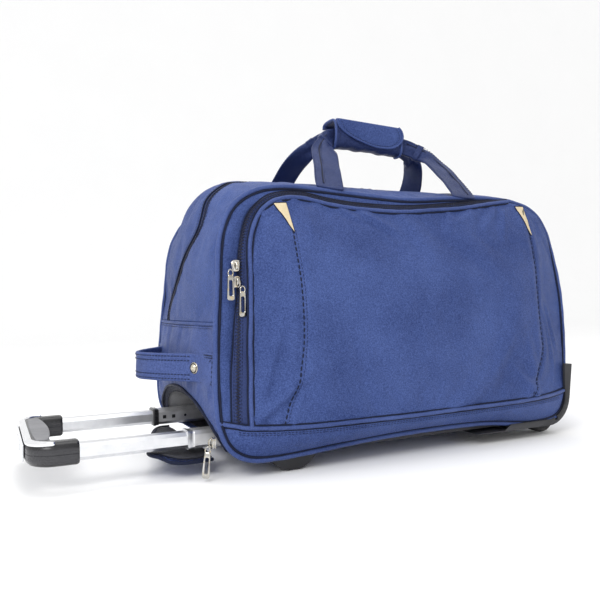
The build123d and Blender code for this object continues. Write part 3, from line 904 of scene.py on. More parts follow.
def pocket():
    """The bulging pocket, sewn into the piping on three sides and the outline on the right."""
    inner = inset(4.0)
    turn = index_near(pocket_line, 58, 301)
    right_low = index_near(inner, 541, 64)
    corner = index_near(inner, 500, 312)
    meet = index_near(inner, 456, 341)
    bottom = band_line[band_line[:, 0] > 37]
    top = np.vstack([pocket_line[turn:], stretch(inner, corner, meet)[::-1][1:]])
    left = pocket_line[:turn + 1]
    flat = patch(bottom, top, left, stretch(inner, right_low, corner), 104, 64)
    x, z = flat[:, :, 0], flat[:, :, 1]
    depth = pocket_depth(x, z) + 2.3 * creases(x, z, FOLDS)
    for seam in SEAMS:
        off = x - np.interp(z, seam[::-1, 1], seam[::-1, 0])
        depth += 1.6 * np.exp(-((np.abs(off) - 9) / 7) ** 2) - 2.4 * np.exp(-(off / 3.0) ** 2)
    piece = sheet_from("pocket_fabric", front_at(x, z, depth), "fabric", flip=True)
    slacken(piece, rim(*flat.shape[:2]), 0.012, 5.0)
    thicken(piece, 2.5)
    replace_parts(piece, "pocket_panel")
    return piece


SEAM_LEFT = [(99, 286), (99, 256), (101, 205), (99.5, 155), (92, 109), (80, 76), (74, 57)]
SEAM_RIGHT = [(483, 297), (481.5, 241), (479, 197), (478.5, 154), (477, 125), (466, 90), (451, 57)]
SEAMS = [spline(SEAM_LEFT, 90), spline(SEAM_RIGHT, 90)]
INSERTS = [[(82, 319), (98, 320.5), (100.5, 283)], [(468, 334), (487, 335.5), (484, 292)]]


def band():
    """The band along the bottom of the front."""
    inner = inset(2.5)
    first, last = index_near(inner, 2, 63), index_near(inner, 539, 62)
    lower = stretch(inner, first, last)
    flat = between(lower, band_line, 120, 13)
    x, z = flat[:, :, 0], flat[:, :, 1]
    w = np.linspace(0, 1, 13)[None]
    top = pocket_depth(flat[:, -1, 0], flat[:, -1, 1])[:, None]
    ripple = 0.7 * np.sin(x * 0.05) * np.sin(w * math.pi)
    piece = sheet_from("band_fabric", front_at(x, z, top * (1 - (1 - w) ** 2) ** 0.8 + ripple), "fabric",
                       flip=True)
    thicken(piece, 2.5)
    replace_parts(piece, "front_band")
    return piece


def pocket_zip():
    """Tapes, coil and folded edges of the pocket's zip, left and top, with a near-black cord at the lip that
    paints the shadow of the gap there.
    """
    width = 2.6 + 5.4 * smooth((235 - zip_line[:, 1]) / 130)
    outer = zip_line + outside_of(zip_line) * width[:, None]
    flat = between(outer, pocket_line, 150, 8)
    share = np.linspace(0, 1, 8)[None]
    x, z = flat[:, :, 0], flat[:, :, 1]
    inner_depth = pocket_depth(flat[:, -1, 0], flat[:, -1, 1])[:, None] - 1.5
    depth = 1.6 + (inner_depth - 1.6) * share - 0.8 * np.sin(share * math.pi)
    tape = sheet_from("pocket_zip_tape", front_at(x, z, depth), "zip_tape")
    thicken(tape, 0.8)
    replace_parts(tape, "pocket_zipper")
    toward = (0, 1, 0)
    middle, normals = lay(tape, front_at(zip_line[:, 0], zip_line[:, 1], 30), 0.5, toward)
    coil("pocket_zip_coil", middle, normals, "coil")
    # near-black cord along the lip: painted shadow of the gap between the pocket fabric and the zip tape
    lip = outer + outside_of(zip_line) * -0.4
    cord("pocket_zip_lip_painted_shadow", front_at(lip[:, 0], lip[:, 1], 2.2), 0.8, "edging_and_painted_shadow")
    rows = []
    for shift in (0.55, -0.62):
        line = zip_line + outside_of(zip_line) * (width * shift if shift > 0 else -4.0 + 0 * width)[:, None]
        rows.append(lay(tape, front_at(line[:, 0], line[:, 1], 30), 0.2, toward))
    stitches("pocket_zip_stitches", rows)


def outside_of(line):
    """Normals on the left of a path's direction: away from the pocket for its zip and piping."""
    t = tangents(line)
    return np.stack([-t[:, 1], t[:, 0]], 1)


def front_trim(pocket_piece, band_piece):
    """Piping, topstitching and the two cream inserts on the front, with near-black cords beside the piping
    that paint the shadow in the creases there.
    """
    toward = (0, 1, 0)
    line = pocket_line
    depth = pocket_depth(line[:, 0], line[:, 1])
    edge = cord("pocket_piping_cord", front_at(line[:, 0], line[:, 1], depth + 0.6), 2.7, "piping")
    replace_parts(edge, "pocket_piping")
    # near-black cords on both sides of the pocket piping: painted shadow of the creases beside it
    for name, gap, rise in (("outer", 3.2, -0.6), ("inner", -3.3, 0.9)):
        shadow = line + outside_of(line) * gap
        kept = line[:, 0] < (463 if name == "inner" else 600)
        cord(f"pocket_piping_seam_{name}", front_at(shadow[:, 0], shadow[:, 1], depth + rise)[kept], 1.3,
             "edging_and_painted_shadow",
             wobble=0.15)
    depth = pocket_depth(band_line[:, 0], band_line[:, 1])
    top = cord("band_piping_cord", front_at(band_line[:, 0], band_line[:, 1], depth + 1.0), 2.5, "piping")
    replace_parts(top, "band_piping")
    # near-black cords above and below the band piping: painted shadow of the creases beside it
    for name, drop in (("upper", 3.0), ("lower", -3.1)):
        z = band_line[:, 1] + drop
        cord(f"band_piping_painted_shadow_{name}", front_at(band_line[:, 0], z, depth + 0.6 * (drop > 0) - 0.2), 1.1, "edging_and_painted_shadow",
             wobble=0.1)
    rows = []
    for drop in (6.0, 8.2):
        path = front_at(band_line[6:-6, 0], band_line[6:-6, 1] - drop, 60)
        rows.append(lay(band_piece, path, 0.1, toward))
    stitches("band_stitches", rows, width=0.8)
    rows = []
    for seam in SEAMS:
        rows.append(lay(pocket_piece, front_at(seam[:, 0], seam[:, 1], 60), 0.3, toward))
    stitches("pocket_seam_stitches", rows, "edging_and_painted_shadow", length=5.6, gap=1.7, width=2.0)
    rows = []
    for seam in SEAMS:
        rows.append(lay(pocket_piece, front_at(seam[:, 0] + 3.4, seam[:, 1], 60), 0.1, toward))
    stitches("pocket_topstitches", rows, width=0.7)
    for k, corners in enumerate(INSERTS):
        insert(f"cream_insert_{'left' if k == 0 else 'right'}", np.array(corners, float), pocket_piece,
               k == 0)


def insert(name, corners, under, first):
    """A cream triangle let into the pocket, with its stitched edge."""
    toward = (0, 1, 0)
    sides = [np.linspace(corners[k], corners[(k + 1) % 3], 14, endpoint=False) for k in range(3)]
    loop = np.vstack(sides)
    centre = corners.mean(0)
    rings = []
    for share in (1.0, 0.92, 0.7, 0.45, 0.2):
        ring = centre + (loop - centre) * share
        spots, _ = lay(under, front_at(ring[:, 0], ring[:, 1], 60), 0.15 if share == 1.0 else 0.9, toward)
        rings.append(spots)
    grid = np.stack(rings)
    flat = grid.reshape(-1, 3)
    x, z = flat[:, 0] - centre[0], flat[:, 2] - centre[1]
    terms = np.column_stack([np.ones(len(x)), x, z])
    fair = terms @ np.linalg.lstsq(terms, flat[:, 1], rcond=None)[0]
    grid[:, :, 1] = np.minimum(flat[:, 1], fair).reshape(grid.shape[:2]) - 0.5
    n = grid.shape[1]
    points = grid.reshape(-1, 3)
    tip = grid[-1].mean(0)
    faces = [tuple(reversed(f)) for f in grid_faces(len(rings), n, True)]
    faces += [((len(rings) - 1) * n + (j + 1) % n, (len(rings) - 1) * n + j, len(points)) for j in range(n)]
    points = np.vstack([points, tip])
    uv = points[:, [0, 2]]
    piece = make(name, points, faces, "insert", uv)
    thicken(piece, 0.9, 0)
    if first:
        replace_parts(piece, "accent_inserts")
    ring = centre + (np.vstack([loop, loop[:1]]) - centre) * 1.03
    row = lay(under, front_at(ring[:, 0], ring[:, 1], 60), 0.4, toward)
    side, up = frames_for(row[0], row[1])
    sweep(name + "_edge", row[0][:-1], side[:-1], up[:-1], round_profile(0.7, 6), "edging_and_painted_shadow")


def outer_piping():
    """Piping round the front and the back, with near-black cords on both sides of it that paint the shadow in
    the creases there.
    """
    front = front_at(edge_loop[:, 0], edge_loop[:, 1], 0.6)
    back = front.copy()
    back[:, 1] = DEPTH - front[:, 1]
    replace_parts(cord("front_piping_cord", front, 3.0, "piping", closed=True), "front_piping")
    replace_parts(cord("rear_piping_cord", back, 3.0, "piping", closed=True), "rear_piping")
    for name, points in (("front", front), ("rear", back)):
        # near-black cords inside and outside the piping: painted shadow of the creases beside it
        inward = points.copy()
        inward[:, 0] -= edge_out[:, 0] * 3.9
        inward[:, 2] -= edge_out[:, 1] * 3.9
        inward[:, 1] += -1.6 if name == "front" else 1.6
        cord(f"{name}_piping_seam", inward, 1.5, "edging_and_painted_shadow", closed=True, wobble=0.15)
        outside = points.copy()
        outside[:, 1] += 3.2 if name == "front" else -3.2
        cord(f"{name}_piping_gusset_painted_shadow", outside, 1.0, "edging_and_painted_shadow", closed=True, wobble=0.1)


# ---- gusset, ends, back, underside ------------------------------------------------------------
ZIP_HALF = 7.5


def zip_depth(points):
    """Where the slack main zip runs: along the middle of the top, then drifting back down the handle end."""
    x, z = points[:, 0], points[:, 1]
    lower = 64.0 * smooth((262 - z) / 80)
    shoulder = 48.0 * smooth((z - 245) / 55) * smooth((150 - x) / 50)
    return MID_Y + (lower - shoulder) * smooth((180 - x) / 60)


def gussets():
    """Both halves of the upper gusset, between the piping and the main zip."""
    share = np.linspace(0, 1, 27)[None]
    front = lean(upper_edge[:, 1])[:, None] + 1.0
    middle_y = zip_depth(upper_edge)[:, None]
    ahead = front + (middle_y - ZIP_HALF - front) * share
    behind = middle_y + ZIP_HALF + (DEPTH - front - middle_y - ZIP_HALF) * share
    pieces = []
    for name, y in (("front", ahead), ("rear", behind)):
        grid = gusset_at(upper_edge, upper_out, y)
        piece = sheet_from(f"gusset_{name}_fabric", grid, "fabric")
        slacken(piece, rim(*grid.shape[:2]), 0.010, 4.0)
        thicken(piece, 2.5)
        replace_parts(piece, f"top_gusset_{name}")
        pieces.append(piece)
    return pieces


def zip_path(shift=0.0, beside=0.0):
    """A line along the main zip or beside it, raised along the gusset's normals."""
    line = gusset_at(upper_edge, upper_out, zip_depth(upper_edge)[:, None] + beside)[:, 0]
    normals = np.stack([upper_out[:, 0], 0 * upper_out[:, 0], upper_out[:, 1]], 1)
    return line + normals * shift, normals


def main_zip(pieces):
    """Tape, coil and folded edges of the main zip."""
    steps = np.linspace(-ZIP_HALF - 4, ZIP_HALF + 4, 9)
    grid = np.stack([zip_path(-1.6, step)[0] for step in steps], 1)
    tape = sheet_from("main_zip_tape", grid, "zip_tape")
    thicken(tape, 0.8)
    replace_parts(tape, "main_zipper")
    path, normals = zip_path(-0.9)
    coil("main_zip_coil", path, normals, "coil", pitch=2.0, width=5.4)
    rows = []
    for side in (-1, 1):
        edge, _ = zip_path(-0.6, side * ZIP_HALF)
        cord(f"main_zip_edge_{'front' if side < 0 else 'rear'}", edge, 1.1, "edging_and_painted_shadow", wobble=0.15)
        piece = pieces[0] if side < 0 else pieces[1]
        rows.append(lay(piece, zip_path(1.0, side * (ZIP_HALF + 3.4))[0], 0.1))
        rows.append(lay(tape, zip_path(-1.0, side * 4.9)[0], 0.1))
    stitches("main_zip_stitches", rows, width=0.8)


left_low = stretch(edge_loop, seam_left, index_near(edge_loop, 60, 19))
right_low = stretch(edge_loop, index_near(edge_loop, 500, 24), seam_right)


def end_x(y, z):
    """Where the handle end's surface is."""
    sides = left_low[np.argsort(left_low[:, 1])]
    base = np.interp(z, sides[:, 1], sides[:, 0])
    t = np.clip((y - lean(z)) / (DEPTH - 2 * lean(z)), 0, 1)
    return base - 9.0 * smooth((z - 20) / 90) * np.sin(math.pi * t) ** 0.85


def arch_line(count=110):
    """The mouth of the handle compartment, in y and z."""
    points = [(20, 31), (12, 44), (30, 61), (62, 79), (100, 90), (MID_Y, 94), (DEPTH - 100, 90),
              (DEPTH - 62, 79),
              (DEPTH - 30, 61), (DEPTH - 12, 44), (DEPTH - 20, 31)]
    return spline(points, count)


def left_end():
    """The gathered lower panel of the handle end, with the arched mouth cut in it."""
    z = np.linspace(24, SEAM_Z, 30)
    front = np.stack([lean(z) + 0.5, z], 1)
    back = np.stack([DEPTH - lean(z) - 0.5, z], 1)[::-1]
    outer = np.vstack([front, back])
    corner = np.array([[14.0, 22.5]])
    outer = np.vstack([corner * [0.1, 1], front, back, [[DEPTH - 1.4, 22.5]]])
    flat = between(outer, arch_line(), 170, 20)
    y, z = flat[:, :, 0], flat[:, :, 1]
    x = end_x(y, z)
    gather = 0.9 * np.sin(y * 0.13 + 2.0 * np.sin(y * 0.031)) * np.exp(-((SEAM_Z - z) / 26) ** 2) * smooth(
        (SEAM_Z - z) / 6)
    piece = sheet_from("left_end_fabric", np.stack([x + gather, y, z], 2), "lower_fabric", flip=True)
    slacken(piece, rim(*flat.shape[:2]), 0.02, 5.0)
    thicken(piece, 2.2)
    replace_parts(piece, "left_end_panel")
    return piece


def seam_rows(piece):
    """The overlapped seam between the upper gusset and the lower panel of the handle end."""
    y = np.linspace(lean(SEAM_Z) + 1, DEPTH - lean(SEAM_Z) - 1, 70)
    z = np.full_like(y, SEAM_Z)
    line = np.stack([end_x(y, z) - 0.6, y, z - 0.3], 1)
    side, up = frames_for(line, (-1, 0, 0))
    sweep("left_seam_fold", line, side, up, flat_profile(4.2, 2.0, 4), "fabric")
    rows = []
    for drop in (2.6, 5.4):
        rows.append(lay(piece, np.stack([end_x(y, z) - 2, y, z - drop], 1), 0.15))
    stitches("left_seam_stitches", rows, width=0.8)


def arch():
    """Zip edge round the compartment's mouth and the lining inside."""
    line = arch_line(150)
    y, z = line[:, 0], line[:, 1]
    x = end_x(y, z)
    rim_path = np.stack([x - 0.8, y, z], 1)
    cord("arch_binding", rim_path, 2.0, "edging_and_painted_shadow", wobble=0.3)
    centre = np.array([MID_Y, 28.0])
    inward = unit(centre - line)
    tape = np.stack([np.stack([x + d, y + inward[:, 0] * k, z + inward[:, 1] * k], 1)
                     for d, k in ((0.5, 0.5), (3.0, 2.0), (4.5, 4.0), (5.0, 6.0))], 1)
    piece = sheet_from("arch_zip_tape", tape, "edging_and_painted_shadow")
    thicken(piece, 0.9)
    teeth = np.stack([x + 4.6, y + inward[:, 0] * 6.4, z + inward[:, 1] * 6.4], 1)
    coil("arch_zip_coil", teeth, np.tile([-1.0, 0, 0], (len(teeth), 1)), "coil", pitch=2.0, width=4.4)
    runs = np.array([2.0, 14, 30, 50, 75, 105, 140, 190, 260, 340])
    shrink = 1 - 0.26 * smooth((runs - 10) / 150)
    grid = []
    for run, k in zip(runs, shrink):
        wrinkle = 1.4 * np.sin(y * 0.13 + run * 0.05) * smooth(run / 40)
        grid.append(np.stack([x + run, MID_Y + (y - MID_Y) * (0.985 - 0.01 * (1 - k)),
                              27 + (z - 27) * k - 0.6 + wrinkle * 0.8], 1))
    tunnel = sheet_from("compartment_lining", np.stack(grid, 0), "lining")
    thicken(tunnel, 0.9)
    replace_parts(tunnel, "compartment_floor")


def right_end():
    """The lower panel of the wheel end."""
    sides = right_low[np.argsort(right_low[:, 1])]
    z = np.linspace(24, SEAM_Z, 36)[None]
    share = np.linspace(0, 1, 52)[:, None]
    y = lean(z) + 0.5 + (DEPTH - 2 * lean(z) - 1.0) * share
    z = np.broadcast_to(z, y.shape)
    base = np.interp(z, sides[:, 1], sides[:, 0])
    x = base + 5.0 * smooth((z - 20) / 90) * np.sin(math.pi * share) ** 0.85

    def clear_of_wells(p):
        return not ((p[1] < 56 or p[1] > DEPTH - 56) and p[2] < 62)

    piece = sheet_from("right_end_fabric", np.stack([x, y, z], 2), "lower_fabric", flip=True,
                       keep=clear_of_wells)
    thicken(piece, 2.2)
    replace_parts(piece, "right_end_panel")
    y = np.linspace(lean(SEAM_Z) + 1, DEPTH - lean(SEAM_Z) - 1, 60)
    t = (y - y[0]) / (y[-1] - y[0])
    line = np.stack([LENGTH + 6.6 + 5.0 * np.sin(math.pi * t) ** 0.85, y, np.full_like(y, SEAM_Z - 0.3)], 1)
    side, up = frames_for(line, (1, 0, 0))
    sweep("right_seam_fold", line, side, up, flat_profile(4.2, 2.0, 4), "fabric")
    return piece


def back_panel():
    """The plain back, slightly domed, with a line of topstitching inside its piping."""
    flat = patch(*four_sides(inset(1.0), CORNERS), 84, 54)
    x, z = flat[:, :, 0], flat[:, :, 1]
    gap = from_edge(x, z)
    dome = 9.0 * ease(gap / 120)
    grid = np.stack([x, DEPTH - lean(z) + dome, z], 2)
    piece = sheet_from("rear_fabric", grid, "fabric")
    slacken(piece, rim(*flat.shape[:2]), 0.008, 4.0)
    thicken(piece, 2.5)
    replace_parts(piece, "rear_panel")
    ring = np.vstack([inset(9.0), inset(9.0)[:1]])
    path = np.stack([ring[:, 0], np.full(len(ring), DEPTH + 60.0), ring[:, 1]], 1)
    stitches("rear_stitches", [lay(piece, path, 0.1, (0, -1, 0))], width=0.8)
    return piece


def underside():
    """The bottom cloth under the base board, open over the wheels."""
    low = stretch(edge_loop, index_near(edge_loop, 24, 27), index_near(edge_loop, 530, 40))
    low = resample(low, 100)
    y = np.linspace(0.5, DEPTH - 0.5, 54)[None]
    share = np.minimum(y, DEPTH - y)
    z = BODY_Z + 0.6 + (low[:, 1:] - BODY_Z) * (1 - smooth(share / 26))
    z = np.where(low[:, :1] < 60, np.maximum(z, low[:, 1:]), z)
    x = np.broadcast_to(low[:, :1], z.shape)

    def clear_of_wheels(p):
        return not (p[0] > 478 and (p[1] < 56 or p[1] > DEPTH - 56))

    grid = np.stack([x, np.broadcast_to(y, z.shape), z], 2)
    piece = sheet_from("underside_fabric", grid, "lower_fabric", flip=False, keep=clear_of_wheels)
    thicken(piece, 1.6)
    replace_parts(piece, "bottom_panel")
    return piece


# ---- carry handles, wrap and tongue -----------------------------------------------------------
LEG_NORMAL = np.array([0.0, -0.611, 0.792])
FRONT_HANDLE = [(164.5, 31, 343), (167, 39, 352), (177, 62, 376), (190, 92, 404), (199, 109, 419),
                (209, 123, 431), (221, 131, 438), (238, 133, 440.5), (286, 133, 440.5), (328, 132.5, 439),
                (348, 130, 435), (366, 123, 427), (379, 111, 416), (385, 94, 401), (385, 68, 378),
                (382, 39, 352), (381, 31, 343)]
REAR_HANDLE = [(176, 31, 343), (176, 39, 352), (177, 70, 378), (184, 103, 404), (196, 122, 420),
               (210, 131, 432), (226, 133, 439), (246, 133, 441), (286, 133, 441), (330, 133, 439),
               (352, 132.5, 436), (372, 128, 430), (390, 114, 420), (406, 94, 408), (418, 70, 388),
               (420, 44, 360), (418, 31, 343)]


def carry_handle(name, points, node_name, body, rear):
    """A carry handle: folded webbing, wide at its sewn feet and doubled narrow in the grip."""
    path = spline(points, 190)
    height = path[:, 2]
    upright = smooth((height - 404) / 22)[:, None]
    normals = unit(LEG_NORMAL * (1 - upright) + np.array([0.0, -1.0, 0.0]) * upright)
    if rear:
        path[:, 1] = DEPTH - path[:, 1]
        normals[:, 1] *= -1
    grip = smooth((height - 406) / 22)
    run = np.arange(len(path))
    width = 37.5 - 14.0 * grip + 0.8 * np.sin(run * 0.21)
    thick = 3.0 + 4.0 * grip + 0.3 * np.sin(run * 0.37)
    pleat = 1.4 * grip * np.exp(-((height - 424) / 9) ** 2) + 0.35 * smooth((height - 350) / 20)
    unit_profile = flat_profile(2.0, 0.24, 7)
    profile = np.repeat(unit_profile[None], len(path), 0)
    profile[:, :, 0] *= width[:, None] / 2
    profile[:, :, 1] *= thick[:, None] / 0.24
    wave = np.sin(unit_profile[None, :, 0] * 5 + run[:, None] * 0.16) + 0.7 * np.sin(run[:, None] * 0.41)
    profile[:, :, 1] += pleat[:, None] * wave
    if rear:
        twist = 1.05 * smooth((path[:, 0] - 368) / 30)[:, None] * smooth((height - 352) / 20)[:, None]
        across = np.cross(tangents(path), normals)
        normals = unit(normals * np.cos(twist) + across * np.sin(twist))
    side, up = frames_for(path, normals)
    piece = sweep(name, path, side, up, profile, "strap", body)
    finer = piece.modifiers.new("Subdivision", "SUBSURF")
    finer.levels = finer.render_levels = 1
    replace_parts(piece, node_name)
    rows = []
    for edge in (-0.92, 0.92, 0.30 if rear else -0.30):
        shift = (width / 2)[:, None] * edge
        for part in (slice(4, 62), slice(-62, -4)):
            line = path + side * shift + up * (thick[:, None] * 0.42 + 0.2)
            rows.append((line[part], up[part]))
    stitches(name + "_stitches", rows, body=body, width=1.0)
    # a thin near-black strip along each leg: painted shadow of the strap's folded edge
    fold_shadow_path = path + side * (width[:, None] * (0.22 if rear else -0.22)) + up * (thick[:, None] / 2 + 0.1)
    for k, part in enumerate((slice(3, 66), slice(-66, -3))):
        s2, u2 = frames_for(fold_shadow_path[part], up[part])
        sweep(f"{name}_fold_painted_shadow_{'left' if k == 0 else 'right'}", fold_shadow_path[part], s2, u2,
              flat_profile(2.0, 0.9, 4), "edging_and_painted_shadow", body)
    for k, at in enumerate((56, len(path) - 57)):
        cuff = path[at - 2:at + 3]
        span_profile = np.repeat(flat_profile(2.0, 0.24, 6)[None], 5, 0)
        span_profile[:, :, 0] *= (width[at - 2:at + 3, None] + 2.0) / 2
        span_profile[:, :, 1] *= (thick[at - 2:at + 3, None] + 1.6) / 0.24
        s3, u3 = frames_for(cuff, normals[at - 2:at + 3])
        sweep(f"{name}_cuff_{'left' if k == 0 else 'right'}", cuff, s3, u3, span_profile, "strap", body)
    return piece


def wrap_drop(x):
    """The wrap's slight slope towards the wheels."""
    return 0.035 * (np.asarray(x, float) - 236)


def grip_wrap():
    """The padded wrap round the front grip, open at the back, with bound edges."""
    section = spline([(157, 455), (155, 461), (141, 463.5), (127, 462.5), (121, 456), (119.5, 445),
                      (119.8, 434),
                      (122.5, 427), (129, 424), (140, 424.5)], 40)
    x = np.linspace(224, 338, 34)
    grid = np.zeros((34, 40, 3))
    grid[:, :, 0] = x[:, None]
    grid[:, :, 1:] = section[None]
    share = (x - 224) / 114
    puff = np.sin(share * math.pi)[:, None]
    low = smooth((444 - section[:, 1]) / 22)[None]
    wrinkle = 1.0 * np.sin(x[:, None] * 0.16 + section[None, :, 1] * 0.11) + 0.7 * np.sin(
        x[:, None] * 0.31 - section[None, :, 1] * 0.19)
    grid[:, :, 1] += wrinkle * 0.6 * (section[None, :, 0] < 125) - 0.8 * puff * (section[None, :, 0] < 125)
    grid[:, :, 2] -= wrap_drop(x)[:, None] + wrinkle * low * 0.7 + 1.5 * low * (1 - puff)
    piece = sheet_from("wrap_pad", grid, "strap", "handle_front")
    thicken(piece, 3.6)
    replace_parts(piece, "grip_wrap")
    for k, column in enumerate((0, -1)):
        line = grid[column]
        cord(f"wrap_binding_{'left' if k == 0 else 'right'}", line + np.array([0.4 - 0.8 * k, 0, 0]), 2.0,
             "piping", "handle_front", wobble=0.2)
    rows = [lay(piece, grid[k] + np.array([0, -1.0, 0.0]), 0.1) for k in (2, -3)]
    stitches("wrap_stitches", rows, body="handle_front", width=0.8)
    return piece


def tongue():
    """The closing tongue over the front of the wrap, with a rounded bound edge."""
    free_edge = spline([(224, 462), (230, 451), (243, 442), (262, 435), (288, 430), (311, 430), (324, 433.5),
                        (334, 441), (338, 450), (336, 458), (331, 463)], 70)
    top = np.stack([np.linspace(331, 224, 24)[1:-1], np.full(22, 463.0)], 1)
    loop = np.vstack([free_edge, top])

    def frame_of(a, b, offset):
        bow = 0.9 * np.sin(a * 0.09) * smooth((458 - b) / 14)
        return np.stack([a, 117.1 - offset + bow * 0.6, b - wrap_drop(a)], 1)

    piece = cushion("tongue_pad", loop, frame_of, 3.4, "fabric", "tongue")
    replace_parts(piece, "wrap_tongue")
    path = frame_of(free_edge[:, 0], free_edge[:, 1], np.zeros(len(free_edge)))
    cord("tongue_binding", path, 1.7, "piping", "tongue", wobble=0.1)
    shrunk = loop.mean(0) + (free_edge - loop.mean(0)) * 0.87
    row = lay(piece, frame_of(shrunk[:, 0], shrunk[:, 1], np.full(len(shrunk), 20.0)), 0.15, (0, 1, 0))
    stitches("tongue_stitches", [row], body="tongue", width=0.9)


# ---- grab loop --------------------------------------------------------------------------------
def grab_handle():
    """The padded webbing loop, its stitched tabs and rivets."""
    half = [(-3.0, 43), (-6.0, 49), (-10.0, 58), (-21, 72), (-41, 98), (-54, 122), (-58, MID_Y)]
    points = half + [(x, DEPTH - y) for x, y in half[-2::-1]]
    plan = spline(points, 120)
    run = np.arange(120)
    share = np.sin(run / 119 * math.pi)
    path = np.column_stack([plan, np.full(120, LOOP_Z)])
    t = tangents(plan)
    normals = np.column_stack([-t[:, 1], t[:, 0], np.zeros(120)])
    profile = np.repeat(flat_profile(34.0, 4.4, 7)[None], 120, 0)
    roll = np.exp(-((np.abs(profile[:, :, 0]) - 12.5) / 2.4) ** 2)
    profile[:, :, 1] *= 1 + 0.25 * roll
    groove = np.exp(-((np.abs(profile[:, :, 0]) - 9.2) / 1.3) ** 2)
    profile[:, :, 1] *= 1 - 0.32 * groove
    profile[:, :, 1] += 0.35 * np.sin(run[:, None] * 0.45 + profile[:, :, 0] * 0.2) * share[:, None]
    side, up = frames_for(path, normals)
    loop = sweep("grab_loop_strap", path, side, up, profile, "lower_fabric", None)
    finer = loop.modifiers.new("Subdivision", "SUBSURF")
    finer.levels = finer.render_levels = 1
    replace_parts(loop, "grab_handle")
    rows = []
    for edge in (-13.6, -8.4, 8.4, 13.6):
        rows.append((path[11:-11] + side[11:-11] * edge + up[11:-11] * 2.5, up[11:-11]))
    stitches("grab_loop_stitches", rows, "edging_and_painted_shadow", body="grab_loop", length=3.4, width=1.2)
    place(-8, MID_Y, LOOP_Z)
    place(-24, MID_Y, LOOP_Z)
    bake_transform(loop)
    for k in (0, 1):
        name = "front" if k == 0 else "rear"
        mirror = (lambda y: y) if k == 0 else (lambda y: DEPTH - y)
        loop2 = rectangle(12, 64, 105, 143, (2, 2, 2, 2), 3)
        loop2 = resample(np.vstack([loop2, loop2[:1]]), 72, False)[:-1]

        def frame_of(a, b, offset, mirror=mirror):
            y = mirror(a)
            return np.stack([end_x(y, b) - 0.9 - offset, y, b], 1)

        tab = cushion(f"grab_tab_{name}", loop2 if k == 0 else loop2[::-1], frame_of, 1.6, "lower_fabric",
                      flat=0.8)
        if k == 0:
            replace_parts(tab, "grab_tabs")
        lines = []
        corners = [(15, 108), (44, 108), (44, 140), (15, 140)]
        crossed = [(0, 1), (1, 2), (2, 3), (3, 0), (0, 2), (1, 3)]
        for a, b in crossed:
            seam = np.linspace(corners[a], corners[b], 14)
            lines.append((frame_of(seam[:, 0], seam[:, 1], np.full(14, 1.0)), np.tile([-1.0, 0, 0], (14, 1))))
        for b in (107.5, 110.5, 137.5, 140.5):
            seam = np.linspace((14, b), (62, b), 14)
            lines.append((frame_of(seam[:, 0], seam[:, 1], np.full(14, 1.0)), np.tile([-1.0, 0, 0], (14, 1))))
        stitches(f"grab_tab_stitches_{name}", lines, "edging_and_painted_shadow", length=3.4, width=1.2)
        rivet(f"grab_rivet_{name}", mirror(55.0), k == 0)


def lathe(name, section, origin, axis, mat, body, sides=28):
    """A turned piece: section holds (radius, height along the axis) from the middle out and round."""
    axis = unit(np.asarray(axis, float))
    helper = np.array([0.0, 0, 1.0]) if abs(axis[2]) < 0.9 else np.array([1.0, 0, 0])
    a = unit(np.cross(axis, helper))
    b = np.cross(axis, a)
    points, n = [], sides
    for radius, height in section:
        for k in range(n):
            turn = 2 * math.pi * k / n
            around = (a * math.cos(turn) + b * math.sin(turn)) * radius
            points.append(np.asarray(origin) + axis * height + around)
    return make(name, np.array(points), capped_faces(len(section), n), mat, None, body)


def rivet(name, y, first):
    """A domed rivet with a dark pressed ring."""
    origin = np.array([-10.0, y, LOOP_Z])
    dome = [(6.6, 0.0), (7.1, 0.6), (6.9, 1.4), (6.1, 2.0), (5.4, 1.8), (4.8, 2.2), (4.0, 3.2), (2.2, 3.9),
            (0.5, 4.0)]
    toward = unit(np.array([-0.9, -0.4 if y < MID_Y else 0.4, 0.0]))
    cap = lathe(name, dome, origin, toward, "brass", "bag")
    if first:
        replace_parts(cap, "grab_rivets")
    beside = np.cross((0, 0, 1.0), toward)
    ring = np.array([origin + toward * 1.9 + beside * 5.3 * math.cos(a) + np.array([0, 0, 5.3]) * math.sin(a)
                     for a in np.linspace(0, 2 * math.pi, 30, endpoint=False)])
    side, up = frames_for(ring, toward, True)
    sweep(name + "_ring", ring, side, up, round_profile(0.75, 6), "gloss_black", closed=True)
    shank = [(2.0, -4.0), (2.2, -3.6), (2.2, 0.2), (2.0, 0.4)]
    lathe(name + "_shank", shank, origin, (-1, 0, 0), "steel", "bag", 12)


# ---- flap of the handle compartment -----------------------------------------------------------
FLAP_POINTS = [(5, 36), (-14, 34), (-38, 36), (-56, 45), (-64, 60), (-57, 90), (-47, 120), (-38, 160),
               (-28, 196), (-18, 222), (-8, 236), (5, 238)]


